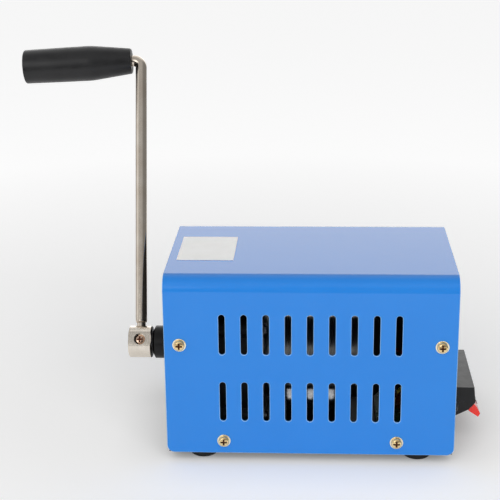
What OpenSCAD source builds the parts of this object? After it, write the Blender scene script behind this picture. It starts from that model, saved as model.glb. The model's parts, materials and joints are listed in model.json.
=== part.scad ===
// Hand crank generator: a slotted sheet steel case that holds a spur gearbox, a small
// direct current generator and an output board, with a bent crank on the left end and a
// four-way spring terminal on the right end.
// X runs along the crank axis, Y across the slotted sides and Z up from the ground.

/* [Case] */
// Length of the cover along the crank axis
case_l = 150; // [142:1:175]
// Width of the cover over its two slotted sides
case_w = 96; // [94:1:115]
// Height of the cover from its lower edge to its top
cover_h = 97.3; // [92:0.1:115]
// Thickness of the cover's sheet
cover_t = 1.2; // [0.8:0.1:2]
// Outside radius of the cover's two long folds
fold_r = 8; // [4:0.5:12]
// Radius of the lower corners of the cover's sides
skirt_r = 4; // [1:0.5:6]
// Thickness of the chassis sheet
chassis_t = 1.5; // [1:0.1:2]
// Distance from the cover's ends to the outside of the end panels
end_inset = 0.8; // [0:0.1:2]
// Width of the end panels' flanges
end_flange_w = 13.5; // [12:0.5:15]
// Height of the bottom plate's flanges
base_flange_h = 13; // [11:0.5:15]

/* [Slots] */
// Number of slots in each row
slot_count = 9; // [5:1:9]
// Distance from slot to slot
slot_pitch = 11.28; // [9:0.01:11.5]
// Width of a slot
slot_w = 3.3; // [2:0.1:4]
// Length of a slot over its round ends
slot_l = 21.9; // [16:0.1:24]
// Middle of the upper row above the cover's lower edge
upper_row_z = 66.6; // [60:0.1:72]
// Middle of the lower row above the cover's lower edge
lower_row_z = 29.4; // [28:0.1:34]

/* [Fasteners] */
// Thread diameter of the small screws
screw_d = 3; // [2.5:0.1:3.2]
// Diameter of their pan heads
head_d = 5.6; // [5:0.1:6]
// Height of their pan heads
head_h = 2.2; // [1.8:0.1:2.4]
// Length of the cover screws under the washer
cover_screw_l = 8; // [6:0.5:10]
// Outside diameter of the washers
washer_d = 7; // [6.5:0.1:7.5]
// Thickness of the washers
washer_t = 0.5; // [0.3:0.1:0.8]
// Distance from the cover's ends to its upper screws
upper_screw_inset = 8; // [7:0.1:9]
// Height of the upper screws above the cover's lower edge
upper_screw_z = 61; // [55:0.1:65]
// Distance from the cover's ends to its lower screws
lower_screw_inset = 30; // [25:0.5:36]
// Height of the lower screws above the cover's lower edge
lower_screw_z = 7.2; // [6:0.1:8]

/* [Feet] */
// Largest diameter of a foot
foot_d = 16.5; // [12:0.5:18]
// Height of a foot
foot_h = 5; // [4:0.1:7]
// Distance from the cover's ends to the middle of the feet
foot_end_inset = 18.5; // [16:0.5:22]
// Distance from the slotted sides to the middle of the feet
foot_inset = 11.5; // [11:0.5:18]

/* [Label] */
// Size of the blank label along the case
label_l = 30; // [20:0.5:40]
// Size of the blank label across the case
label_w = 40; // [30:0.5:50]
// Thickness of the label
label_t = 0.3; // [0.2:0.05:0.5]
// Distance from the left end of the cover to the label's middle
label_inset = 19.6; // [18:0.1:40]

/* [Crank] */
// Height of the crank axis above the cover's lower edge
crank_z = 43; // [43:0.1:48]
// Diameter of the crank shaft
shaft_d = 8; // [6:0.5:8.5]
// Diameter of the bearing nose on the left panel
nose_d = 18; // [17:0.1:22]
// Length of the bearing nose outside the left panel
nose_l = 12.6; // [10:0.1:16]
// Diameter of the crank hub
hub_d = 17.5; // [16:0.1:20]
// Length of the crank hub
hub_l = 12.6; // [11:0.1:16]
// Gap between the hub and the bearing nose
hub_gap = 0.5; // [0.3:0.1:1]
// Diameter of the bent rod
rod_d = 6.5; // [5.5:0.1:7]
// Length of the rod from the crank axis to the corner of its bend
crank_r = 166.4; // [120:0.1:180]
// Lean of the rod at rest, back from straight up
crank_lean = 32; // [0:1:40]
// Angle by which the rod leaves square to the crank axis
rod_tilt = 2.2; // [0:0.1:4]
// Angle by which the spindle droops from the crank axis
spindle_droop = 3.2; // [0:0.1:5]
// Radius of the bend at the rod's middle line
bend_r = 4.3; // [4:0.1:5]

/* [Grip] */
// Length of the grip
grip_l = 63; // [50:0.5:80]
// Diameter at the grip's shoulder
grip_d = 20.3; // [18:0.1:24]
// Diameter at the grip's outer end
grip_end_d = 19.5; // [17:0.1:24]
// Diameter at the grip's inner end
grip_neck_d = 14.7; // [13:0.1:18]
// Distance from the corner of the bend to the grip
grip_start = 5.4; // [5:0.1:8]

/* [Gears] */
// Tooth module of the crank wheel
first_module = 0.8; // [0.76:0.01:0.82]
// Tooth module of the middle mesh
second_module = 0.7; // [0.66:0.01:0.72]
// Tooth module of the mesh at the rotor
third_module = 0.6; // [0.58:0.01:0.62]
// Face width of the first mesh
first_face = 10; // [7:0.5:10.5]
// Face width of the middle mesh
second_face = 8; // [6:0.5:8.5]
// Face width of the mesh at the rotor
third_face = 7; // [5:0.5:7.5]
// Diameter of the gear pins
gear_pin_d = 3; // [2.5:0.1:3]

/* [Gearbox] */
// Drop from the crank axis to the axis of the gearbox and generator
axis_drop = 7; // [6.5:0.1:7]
// Room between the largest gear circle and the gearbox wall
gear_room = 0.77; // [0.5:0.01:1]
// Length of the gearbox with its lid
gearbox_l = 48.2; // [46:0.1:50]
// Thickness of the gearbox's front wall
front_wall = 5; // [4.5:0.1:5.5]
// Thickness of its round wall
side_wall = 2.2; // [1.8:0.1:2.2]
// Thickness of its lid
lid_t = 5; // [4:0.1:5.5]
// Diameter of the screw ears round the gearbox
ear_d = 8; // [7:0.1:9]

/* [Generator] */
// Outside diameter of the generator's can
can_d = 46; // [44:0.5:48]
// Space from the end bell to the right panel, over the output board
back_space = 35.2; // [34:0.1:40]
// Wall of the can
can_wall = 1.8; // [1.2:0.1:2.2]
// Length of the end bell behind the can
bell_l = 8; // [6:0.5:10]
// Diameter of the rotor shaft
rotor_shaft_d = 5; // [4:0.1:5]
// Air gap between the rotor and the magnets
air_gap = 0.6; // [0.4:0.1:1]
// Radial thickness of the magnets
magnet_t = 3.5; // [2.5:0.1:4]

/* [Board] */
// Size of the output board along the case
board_l = 34; // [30:0.5:34]
// Size of the output board across the case
board_w = 56; // [50:0.5:60]
// Thickness of the board
board_t = 1.6; // [1:0.1:2]
// Height of the pillars under the board
pillar_h = 5; // [4:0.5:6]

/* [Terminals] */
// Distance from terminal to terminal
way_pitch = 12.5; // [12:0.1:13]
// Width of the block's moulded body
block_w = 52; // [50:0.5:56]
// Reach of the block out of the right panel
block_d = 13.6; // [12:0.1:16]
// Height of the block
block_h = 18.1; // [17:0.1:21]
// Height of the block's top above the cover's lower edge
block_top = 29; // [27:0.1:32]
// Diameter of the wire holes
wire_hole_d = 3.2; // [2.5:0.1:3.4]
// Width of a lever
lever_w = 8.6; // [7.5:0.1:9]

/* [Hidden] */
$fn = 64;

// Overrun of every cut past the face it opens
cut = 1;
// Clearances: sheet to sheet, loose seats, screws in holes and shafts in bearings
sheet_gap = 0.1;
seat_gap = 0.1;
hole_gap = 0.2;
run_gap = 0.04;
// Play left along the axis of a turning piece
end_play = 0.3;

// Places of the feet and of the cover's screws along the case
foot_x = case_l / 2 - foot_end_inset;
upper_screw_x = case_l / 2 - upper_screw_inset;
lower_screw_x = case_l / 2 - lower_screw_inset;

// Heights above the ground
deck_z = foot_h;
cover_top = deck_z + cover_h;
floor_z = deck_z + chassis_t;
axis_z = deck_z + crank_z;
gen_z = axis_z - axis_drop;

// Faces of the end panels, outside and inside
left_out = -case_l / 2 + end_inset;
left_in = left_out + chassis_t;
right_out = case_l / 2 - end_inset;
right_in = right_out - chassis_t;
chassis_w = case_w - 2 * (cover_t + sheet_gap);
panel_top = cover_top - cover_t - sheet_gap;

// Heads: cross recess and rounding as shares of the head
recess_width_share = 0.17;
recess_length_share = 0.62;
recess_depth_share = 0.6;
head_rim_share = 0.4;
nut_d = 2 * screw_d * 1.05;
nut_h = screw_d * 0.8;
panel_screw_l = 5;
lid_hole_l = 11;
screw_end_gap = 2;
short_screw_l = 6;

// Crank: stations along X and points of the crank plane, out from the case and along the lean
nose_end = left_out - nose_l;
hub_right = nose_end - hub_gap;
hub_x = hub_right - hub_l / 2;
hub_flat_depth = 0.65;
hub_chamfer = 0.5;
hub_flat_y = hub_d / 2 - hub_flat_depth;
counterbore_d = 6.2;
counterbore_depth = 2.3;
hub_screw_head_d = 5.6;
hub_screw_head_h = 1.6;
shaft_flat_depth = 0.6;
shaft_recess = 0.6;
neck_d = 5;
neck_l = 1.6;
rod_chamfer = 0.8;
bend_overlap = 0.05;
shoulder_r = hub_d / 2 + neck_l;
bend_turn = 90 - rod_tilt + spindle_droop;
bend_tangent = bend_r * tan(bend_turn / 2);
rod_way = [sin(rod_tilt), cos(rod_tilt)];
spindle_way = [cos(spindle_droop), -sin(spindle_droop)];
corner = crank_r * rod_way;
bend_start = corner - bend_tangent * rod_way;
bend_middle = bend_start + bend_r * [cos(rod_tilt), -sin(rod_tilt)];

// Grip: the turned outline, its bore and the pocket in its outer end
shoulder_at_share = 0.375;
grip_edge = 1;
grip_run_gap = 0.08;
pocket_d = 13;
pocket_l = 8;
retainer_d = 11;
retainer_t = 0.8;
plug_t = 2.5;
spindle_proud = 3;
spindle_l = grip_l - pocket_l + spindle_proud;
grip_outline = [
    [rod_d / 2 + grip_run_gap, 0],
    [grip_neck_d / 2 - grip_edge / 2, 0],
    [grip_neck_d / 2, grip_edge / 2],
    [grip_d / 2, grip_l * shoulder_at_share],
    [grip_end_d / 2, grip_l - grip_edge],
    [grip_end_d / 2 - grip_edge, grip_l],
    [pocket_d / 2, grip_l],
    [pocket_d / 2, grip_l - pocket_l],
    [rod_d / 2 + grip_run_gap, grip_l - pocket_l]
];

// The crank's direction cosines, and the reach of a turned outline along a direction
spindle_dir = [
    -spindle_way[0],
    spindle_way[1] * sin(crank_lean),
    spindle_way[1] * cos(crank_lean)
];
function reach(outline, start, share) =
    max([for (p = outline) (p[1] + start) * share + p[0] * sqrt(1 - share * share)]);
grip_left = hub_x - corner[0] - reach(grip_outline, grip_start, -spindle_dir[0]);
grip_back = corner[1] * sin(crank_lean) + reach(grip_outline, grip_start, spindle_dir[1]);

// Terminal block: corners as shares of its reach and height, from the panel's lower corner
way_count = 4;
block_shares = [[0, 0], [0.743, 0.287], [1, 0.514], [0.94, 1], [0, 1]];
pocket_shares = [
    [0.49, 0.6], [0.49, 0.45], [0.62, 0.2], [0.7, -0.1], [1.3, -0.1], [1.3, 0.482],
    [0.962, 0.482], [0.79, 0.6]
];
lever_shares = [
    [0.535, 0.41], [0.66, 0.27], [0.82, 0.15], [1.162, -0.022], [1.235, 0.088],
    [1.085, 0.315], [0.71, 0.56], [0.56, 0.55]
];
lever_pivot_share = [0.645, 0.475];
lever_hub_d = 3.4;
trunnion_d = 2.2;
trunnion_l = 0.9;
pocket_side_gap = 0.3;
wire_hole_share = 0.77;
cavity_reach_share = 0.4;
cavity_low_share = 0.25;
cavity_high_share = 0.92;
cavity_w = 6;
flange_t = 2;
flange_ear = 8;
spigot_l = 5;
spigot_w = 50;
spigot_h = 14;
contact_t = 0.5;
tab_l = 7;
tab_w = 3;
block_z = deck_z + block_top - block_h;
lever_right = right_out + block_d * max([for (p = lever_shares) p[0]]);

// Middle of the whole object's outline, which the model's origin stands under
mid_x = (grip_left + lever_right) / 2;
mid_y = (grip_back - case_w / 2 - washer_t - head_h) / 2;

// Gear train: teeth, tooth form and the places of the axes, seen along X as [y, z]
wheel_teeth = 42;
middle_teeth = 40;
pinion_teeth = 14;
pressure_angle = 25;
addendum_share = 0.9;
dedendum_share = 1.15;
backlash = 0.05;
flank_steps = 3;
first_reach = first_module * (wheel_teeth + pinion_teeth) / 2;
second_reach = second_module * (middle_teeth + pinion_teeth) / 2;
third_reach = third_module * (wheel_teeth + pinion_teeth) / 2;
crank_at = [0, axis_z];
gen_at = [0, gen_z];
first_at = [0, axis_z - first_reach];
first_to_gen = gen_z - first_at[1];
second_up = (second_reach * second_reach - third_reach * third_reach
    + first_to_gen * first_to_gen) / (2 * first_to_gen);
second_out = sqrt(second_reach * second_reach - second_up * second_up);
second_at = [second_out, first_at[1] + second_up];
first_way = -90;
second_way = atan2(second_up, second_out);
third_way = atan2(gen_z - second_at[1], -second_out);

// Stations of the gearbox along X
lid_out = left_in + gearbox_l;
lid_in = lid_out - lid_t;
wall_in = left_in + front_wall;
boss_l = 2.8;
boss_end = wall_in + boss_l;
face_gap = 2;
first_x = boss_end + 2 * end_play;
second_x = first_x + first_face + face_gap;
third_x = second_x + second_face + face_gap;
first_wheel_reach = first_reach - axis_drop + second_module * (middle_teeth / 2 + addendum_share);
second_wheel_reach = third_reach + third_module * (wheel_teeth / 2 + addendum_share);
gearbox_in_d = 2 * (max(first_wheel_reach, second_wheel_reach) + gear_room);
gearbox_d = gearbox_in_d + 2 * side_wall;
ear_r = gearbox_d / 2 + ear_d * 0.35;
panel_screw_r = 22;
boss_d = 16;
nose_spigot_d = 15;
nose_spigot_l = 4;
nose_lip = 1.2;
nose_chamfer = 1.5;
sleeve_d = 12;
sleeve_l = 9;
rear_sleeve_l = 4.9;
clip_t = 0.8;
shaft_end = first_x + first_face + 2 * clip_t;
clip_d = 12;
groove_depth = 0.6;
gear_boss_d = 6;
step_pin_d = 4;
pin_seat = 3;
rim_w = 2.4;
wheel_hub_d = 14;
wheel_web_share = 0.55;
window_count = 5;

// Stations and radii of the generator along X
can_x = lid_out;
can_l = right_in - back_space - bell_l - can_x;
can_end = can_x + can_l;
can_in_d = can_d - 2 * can_wall;
can_edge = 1.5;
nose_bearing_d = 12;
bearing_d = 10;
bearing_l = 4;
can_nose_l = 3;
magnet_end_space = 20;
magnet_l = can_l - magnet_end_space;
magnet_x = can_x + magnet_end_space * 0.4;
magnet_angle = 140;
magnet_out_d = can_in_d - 2 * seat_gap;
core_d = magnet_out_d - 2 * magnet_t - 2 * air_gap;
magnet_overhang = 2;
core_l = magnet_l - 2 * magnet_overhang;
core_x = magnet_x + magnet_overhang;
core_slots = 7;
core_slot_w = 3.2;
core_slot_depth = 7;
core_mouth = 1.4;
turn_l = 4.5;
turn_step = 2;
turn_d = core_d - 2 * turn_step;
commutator_d = 13;
commutator_l = 10;
commutator_x = core_x + core_l + turn_l + end_play;
commutator_bars = 7;
bar_gap = 0.4;
bar_depth = 1;
brush_x = commutator_x + commutator_l / 2;
brush_w = 5;
brush_h = 6;
brush_l = 8;
bell_spigot_play = 1;
bell_spigot_l = can_end - commutator_x - bell_spigot_play;
bell_wall = 1.5;
bell_bearing_x = can_end + bell_l - bearing_l - bell_wall;
vent_count = 6;
vent_d = 4;
vent_r = 16.5;
pinion_overhang = 0.5;
pinion_front = third_x - pinion_overhang;
rotor_pinion_l = third_face + 2 * pinion_overhang;
rotor_end = bell_bearing_x + bearing_l;
gen_screw_r = 12.5;
gen_screw_l = lid_t + can_wall - hole_gap;
gen_tab_y = 9;
gen_tab_l = 6;
gen_tab_w = 4.8;
gen_tab_t = 0.8;

// Saddle under the can: a folded strip, as shares of the can's radius from its axis
saddle_cover_share = 0.63;
saddle_middle_share = 0.53;
saddle_screw_share = 0.32;
saddle_l = can_l * saddle_cover_share;
saddle_t = 1.5;
saddle_x = can_x + can_l * saddle_middle_share;
saddle_lip = 8.6;
saddle_lip_y = can_d / 2 + saddle_t;
saddle_low_y = can_d / 2 - 2 * saddle_t;
saddle_lip_top = gen_z - can_d * 0.22;
saddle_screw_x = saddle_l * saddle_screw_share;

// Board, its pillars and its parts
board_gap = 3.2;
board_x = right_in - board_gap - board_l / 2;
board_low = floor_z + pillar_h;
board_top = board_low + board_t;
pillar_d = 6;
pillar_inset = 4;
rectifier_size = [3.6, 15, 10];
rectifier_at = [-8, 14];
capacitor_d = 10;
capacitor_l = 13;
capacitor_at = [-2, 0];
choke_d = 15;
choke_bore = 7;
choke_t = 5.5;
choke_at = [0.9, -13.9];
lead_d = 0.8;
lead_count = 4;
lead_stand = 3;
can_crimp = 0.5;
choke_band = 0.8;
choke_bands = 8;

// Wires: route points from the ground under the middle of the board
wire_d = 1.8;
wire_sides = 8;
wire_steps = 3;
wire_side_way = [0, 1, 0];
red_routes = [
    [[-9, 9, 41], [-5.5, 9, 41], [-1.5, 9, 38], [1, 9, 30], [1, 9, 21], [1, 9, 13.25]],
    [[3.5, -18.8, 13.25], [3.5, -18.8, 16], [5, -18.8, 19.5], [7.5, -18.8, 20.6], [9.7, -18.8, 20.7]],
    [[3.5, 6.2, 13.25], [3.5, 6.2, 16], [5, 6.2, 19.5], [7.5, 6.2, 20.6], [9.7, 6.2, 20.7]]
];
black_routes = [
    [[-9, -9, 41], [-5.5, -9, 41], [-1.5, -9, 38], [1, -9, 30], [1, -9, 21], [1, -9, 13.25]],
    [[3.5, -6.2, 13.25], [3.5, -6.2, 16], [5, -6.2, 19.5], [7.5, -6.2, 20.6], [9.7, -6.2, 20.7]],
    [[3.5, 18.8, 13.25], [3.5, 18.8, 16], [5, 18.8, 19.5], [7.5, 18.8, 20.6], [9.7, 18.8, 20.7]]
];

// Gear outline
function polar(r, a) = [r * cos(a), r * sin(a)];
function involute_angle(base_r, r) =
    sqrt(max(0, r * r / (base_r * base_r) - 1)) * 180 / PI - acos(min(1, base_r / r));
function half_tooth(tooth_module, teeth, r) =
    let (pitch_r = tooth_module * teeth / 2, base_r = pitch_r * cos(pressure_angle))
    90 / teeth - backlash / pitch_r * 180 / PI
    + involute_angle(base_r, pitch_r) - involute_angle(base_r, r);
function gear_points(tooth_module, teeth, turn) =
    let (
        pitch_r = tooth_module * teeth / 2,
        tip_r = pitch_r + tooth_module * addendum_share,
        root_r = pitch_r - tooth_module * dedendum_share,
        low_r = max(root_r, pitch_r * cos(pressure_angle)),
        radii = concat(root_r < low_r ? [root_r] : [],
            [for (i = [0:flank_steps]) low_r + (tip_r - low_r) * i / flank_steps])
    )
    [for (tooth = [0:teeth - 1], side = [-1, 1], i = [0:len(radii) - 1])
        let (
            r = side < 0 ? radii[i] : radii[len(radii) - 1 - i],
            a = half_tooth(tooth_module, teeth, max(r, low_r))
        )
        polar(r, turn + 360 * tooth / teeth + side * a)];
function meshed_turn(turn, teeth, other_teeth, way) =
    way + 180 - 180 / other_teeth - (turn - way) * teeth / other_teeth;
crank_wheel_turn = 0;
first_pinion_turn = meshed_turn(crank_wheel_turn, wheel_teeth, pinion_teeth, first_way);
first_wheel_turn = 0;
second_pinion_turn = meshed_turn(first_wheel_turn, middle_teeth, pinion_teeth, second_way);
second_wheel_turn = 0;
rotor_pinion_turn = meshed_turn(second_wheel_turn, wheel_teeth, pinion_teeth, third_way);

// Shared shapes
module placed() {
    translate([-mid_x, -mid_y, 0])
        children();
}

// Lays the children's Z axis along +X at a station and a [y, z] place
module along_x(x, at) {
    translate([x, at[0], at[1]])
        rotate([90, 0, 90])
            children();
}

module ring(outer_d, inner_d, length) {
    difference() {
        cylinder(d = outer_d, h = length);
        translate([0, 0, -cut])
            cylinder(d = inner_d, h = length + 2 * cut);
    }
}

// Cross slot that opens upwards from z = 0, in a head of the given diameter and height
module cross_recess(head, height) {
    for (turn = [0, 90])
        rotate([0, 0, turn])
            translate([-head * recess_length_share / 2, -head * recess_width_share / 2, 0])
                cube([head * recess_length_share, head * recess_width_share, height]);
}

function dome_points(r, low, high) =
    [for (a = [0:15:90]) [r * cos(a), low + (high - low) * sin(a)]];

// Pan head screw that seats at z = 0, its head up and its shank down
module pan_screw(thread_d, length, pan_d, pan_h) {
    difference() {
        union() {
            translate([0, 0, -length])
                cylinder(d = thread_d, h = length);
            rotate_extrude()
                polygon(concat([[0, 0], [pan_d / 2, 0]],
                    dome_points(pan_d / 2, pan_h * head_rim_share, pan_h)));
        }
        translate([0, 0, pan_h * (1 - recess_depth_share)])
            cross_recess(pan_d, pan_h);
    }
}

module small_screw(length) {
    pan_screw(screw_d, length, head_d, head_h);
}

// Hexagon nut that seats at z = 0
module small_nut() {
    difference() {
        cylinder(d = nut_d, h = nut_h, $fn = 6);
        translate([0, 0, -cut])
            cylinder(d = screw_d, h = nut_h + 2 * cut);
    }
}

module at_corners(x, y) {
    for (sx = [-1, 1], sy = [-1, 1])
        translate([sx * x, sy * y, 0])
            children();
}

// Outline that stands on y = 0 with its two upper corners rounded
module arch(width, height, corner_r) {
    translate([-width / 2, 0])
        square([width, height - corner_r]);
    translate([corner_r - width / 2, 0])
        square([width - 2 * corner_r, height]);
    for (side = [-1, 1])
        translate([side * (width / 2 - corner_r), height - corner_r])
            circle(r = corner_r);
}

module slot_outline() {
    square([slot_w, slot_l - slot_w], center = true);
    for (side = [-1, 1])
        translate([0, side * (slot_l - slot_w) / 2])
            circle(d = slot_w);
}

// Runs the children's Z axis across the whole case, from the front side to the back
module across_case(x, z) {
    translate([x, case_w / 2 + cut, z])
        rotate([90, 0, 0])
            linear_extrude(case_w + 2 * cut)
                children();
}

module cover_screw_places() {
    for (side = [0, 1], end = [-1, 1]) {
        rotate([0, 0, 180 * side])
            translate([end * upper_screw_x, -case_w / 2, deck_z + upper_screw_z])
                rotate([90, 0, 0])
                    children();
        rotate([0, 0, 180 * side])
            translate([end * lower_screw_x, -case_w / 2, deck_z + lower_screw_z])
                rotate([90, 0, 0])
                    children();
    }
}

module cover_screw_holes() {
    for (end = [-1, 1]) {
        across_case(end * upper_screw_x, deck_z + upper_screw_z)
            circle(d = screw_d + hole_gap);
        across_case(end * lower_screw_x, deck_z + lower_screw_z)
            circle(d = screw_d + hole_gap);
    }
}

// Case
module top_cover() placed() color("#418de0") {
    inner_r = max(fold_r - cover_t, cover_t / 2);
    difference() {
        intersection() {
            translate([-case_l / 2, 0, deck_z])
                rotate([90, 0, 90])
                    linear_extrude(case_l)
                        difference() {
                            arch(case_w, cover_h, fold_r);
                            translate([0, -cut])
                                arch(case_w - 2 * cover_t, cover_h - cover_t + cut, inner_r);
                        }
            translate([0, case_w / 2 + cut, cover_top])
                rotate([-90, 0, 180])
                    linear_extrude(case_w + 2 * cut)
                        arch(case_l, cover_h, skirt_r);
        }
        for (i = [0:slot_count - 1], row = [upper_row_z, lower_row_z])
            across_case((i - (slot_count - 1) / 2) * slot_pitch, deck_z + row)
                slot_outline();
        cover_screw_holes();
    }
}

module base_chassis() placed() color("#242427") {
    panel_h = panel_top - deck_z;
    run = right_out - left_out;
    flange_run = run - 2 * end_flange_w;
    inner_fold_r = max(fold_r - cover_t - sheet_gap, chassis_t);
    difference() {
        union() {
            intersection() {
                union() {
                    translate([left_out, -chassis_w / 2, deck_z])
                        cube([run, chassis_w, chassis_t]);
                    for (x = [left_out, right_in])
                        translate([x, -chassis_w / 2, deck_z])
                            cube([chassis_t, chassis_w, panel_h]);
                }
                translate([left_out, 0, deck_z])
                    rotate([90, 0, 90])
                        linear_extrude(run)
                            arch(chassis_w, panel_h, inner_fold_r);
            }
            for (side = [-1, 1])
                translate([0, side * (chassis_w - chassis_t) / 2, 0]) {
                    translate([-flange_run / 2 + chassis_t, -chassis_t / 2, deck_z])
                        cube([flange_run - 2 * chassis_t, chassis_t, base_flange_h]);
                    for (end = [0, 1])
                        mirror([end, 0, 0])
                            translate([left_out, -chassis_t / 2, deck_z + base_flange_h + chassis_t])
                                cube([end_flange_w, chassis_t,
                                    panel_h - base_flange_h - chassis_t - inner_fold_r - chassis_t]);
                }
        }
        cover_screw_holes();
        along_x(left_out - cut, crank_at)
            cylinder(d = nose_spigot_d + hole_gap, h = chassis_t + 2 * cut);
        along_x(left_out - cut, gen_at)
            panel_screw_places()
                cylinder(d = screw_d + hole_gap, h = chassis_t + 2 * cut);
        translate([right_in - cut, 0, block_z + block_h / 2])
            rotate([90, 0, 90])
                linear_extrude(chassis_t + 2 * cut) {
                    square([spigot_w + 2 * seat_gap, spigot_h + 2 * seat_gap], center = true);
                    terminal_screw_places()
                        circle(d = screw_d + hole_gap);
                }
        translate([0, 0, deck_z - cut]) {
            at_corners(foot_x, case_w / 2 - foot_inset)
                cylinder(d = screw_d + hole_gap, h = chassis_t + 2 * cut);
            saddle_screw_places()
                cylinder(d = screw_d + hole_gap, h = chassis_t + 2 * cut);
        }
    }
}

module cover_screws() placed() color("#e3c287")
    cover_screw_places()
        translate([0, 0, washer_t])
            small_screw(cover_screw_l + washer_t);

module cover_washers() placed() color("#d9b878")
    cover_screw_places()
        ring(washer_d, screw_d + hole_gap, washer_t);

module blank_label() placed() color("#ebebe8")
    translate([label_inset - case_l / 2 - label_l / 2, -label_w / 2, cover_top])
        cube([label_l, label_w, label_t]);

// Feet
module foot(sx, sy) {
    low_d = foot_d * 0.88;
    head_room = foot_h * 0.55;
    translate([sx * foot_x, sy * (case_w / 2 - foot_inset), 0])
        difference() {
            rotate_extrude()
                polygon([[0, 0], [low_d / 2 - foot_d * 0.05, 0], [low_d / 2, foot_h * 0.12],
                    [foot_d / 2, foot_h * 0.8], [foot_d / 2, foot_h], [0, foot_h]]);
            translate([0, 0, -cut])
                cylinder(d = head_d + 2 * hole_gap, h = head_room + cut);
            translate([0, 0, -cut])
                cylinder(d = screw_d + hole_gap, h = foot_h + 2 * cut);
        }
}

module foot_front_left() placed() color("#222222")
    foot(-1, -1);

module foot_front_right() placed() color("#222222")
    foot(1, -1);

module foot_back_left() placed() color("#222222")
    foot(-1, 1);

module foot_back_right() placed() color("#222222")
    foot(1, 1);

module foot_screws() placed() color("#c9ccd0") {
    shank = foot_h * 0.45 + chassis_t + nut_h + screw_d * 0.3;
    at_corners(foot_x, case_w / 2 - foot_inset)
        translate([0, 0, foot_h * 0.55])
            rotate([180, 0, 0])
                small_screw(shank);
}

module foot_nuts() placed() color("#c9ccd0")
    at_corners(foot_x, case_w / 2 - foot_inset)
        translate([0, 0, floor_z])
            small_nut();

// Crank: the children's X points out from the case, their Z along the lean of the rod
module in_crank_plane() {
    translate([hub_x, 0, axis_z])
        rotate([-crank_lean, 0, 0])
            rotate([0, 0, 180])
                children();
}

module on_spindle(start) {
    in_crank_plane()
        translate([corner[0] + start * spindle_way[0], 0, corner[1] + start * spindle_way[1]])
            rotate([0, 90 + spindle_droop, 0])
                children();
}

module crank_hub() placed() color("#cdc3b8")
    in_crank_plane()
        difference() {
            translate([-hub_l / 2, 0, 0])
                rotate([0, 90, 0])
                    rotate_extrude()
                        polygon([[0, 0], [hub_d / 2 - hub_chamfer, 0], [hub_d / 2, hub_chamfer],
                            [hub_d / 2, hub_l - hub_chamfer], [hub_d / 2 - hub_chamfer, hub_l],
                            [0, hub_l]]);
            translate([-hub_l / 2 - cut, hub_flat_y, -hub_d / 2])
                cube([hub_l + 2 * cut, hub_flat_depth + cut, hub_d]);
            translate([-hub_l / 2 - cut, 0, 0])
                rotate([0, 90, 0])
                    cylinder(d = shaft_d + 2 * run_gap, h = hub_l + 2 * cut);
            translate([0, hub_flat_y - counterbore_depth, 0])
                rotate([-90, 0, 0])
                    cylinder(d = counterbore_d, h = counterbore_depth + hub_flat_depth);
            rotate([-90, 0, 0])
                cylinder(d = screw_d + hole_gap, h = hub_d / 2);
            rotate([0, rod_tilt, 0])
                cylinder(d = neck_d + 2 * run_gap, h = hub_d);
        }

module hub_screw() placed() color("#c98a5c") {
    flat_at = shaft_d / 2 - shaft_flat_depth;
    seat_at = hub_flat_y - counterbore_depth;
    in_crank_plane()
        translate([0, seat_at, 0])
            rotate([-90, 0, 0])
                pan_screw(screw_d, seat_at - flat_at - run_gap, hub_screw_head_d, hub_screw_head_h);
}

module crank_rod() placed() color("#bdb3a4") {
    neck_from = shaft_d / 2 + seat_gap + shaft_d * 0.08;
    rod_l = crank_r - bend_tangent - shoulder_r + bend_overlap;
    in_crank_plane() {
        rotate([0, rod_tilt, 0]) {
            translate([0, 0, neck_from])
                cylinder(d = neck_d, h = shoulder_r - neck_from + cut);
            translate([0, 0, shoulder_r])
                rotate_extrude()
                    polygon([[0, 0], [rod_d / 2 - rod_chamfer, 0], [rod_d / 2, rod_chamfer],
                        [rod_d / 2, rod_l], [0, rod_l]]);
        }
        translate([bend_middle[0], 0, bend_middle[1]])
            rotate([90, 0, 0])
                rotate([0, 0, 90 - spindle_droop])
                    rotate_extrude(angle = bend_turn)
                        translate([bend_r, 0])
                            circle(d = rod_d);
    }
    on_spindle(bend_tangent - bend_overlap)
        cylinder(d = rod_d, h = grip_start - bend_tangent + bend_overlap + spindle_l);
}

module crank_grip() placed() color("#2c2c2e")
    on_spindle(grip_start)
        rotate_extrude()
            polygon(grip_outline);

module grip_retainer() placed() color("#b8bcc2")
    on_spindle(grip_start + grip_l - pocket_l + end_play)
        ring(retainer_d, rod_d, retainer_t);

module grip_plug() placed() color("#232325")
    on_spindle(grip_start + grip_l - plug_t)
        cylinder(d = pocket_d - seat_gap, h = plug_t);

// Bearing nose, its sleeve and the crank shaft
module bearing_nose() placed() color("#26272a")
    along_x(nose_end, crank_at)
        difference() {
            rotate_extrude()
                polygon([[0, 0], [nose_d / 2 - 2 * nose_chamfer, 0], [nose_d / 2, nose_chamfer],
                    [nose_d / 2, nose_l], [nose_spigot_d / 2, nose_l],
                    [nose_spigot_d / 2, nose_l + nose_spigot_l], [0, nose_l + nose_spigot_l]]);
            translate([0, 0, nose_lip])
                cylinder(d = sleeve_d, h = nose_l + nose_spigot_l);
            translate([0, 0, -cut])
                cylinder(d = shaft_d + 4 * hole_gap, h = nose_l);
        }

module front_sleeve_bearing() placed() color("#b08d57")
    along_x(nose_end + nose_lip, crank_at)
        ring(sleeve_d, shaft_d + 2 * run_gap, sleeve_l);

module rear_sleeve_bearing() placed() color("#b08d57")
    along_x(boss_end - rear_sleeve_l, crank_at)
        ring(sleeve_d, shaft_d + 2 * run_gap, rear_sleeve_l);

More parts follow.
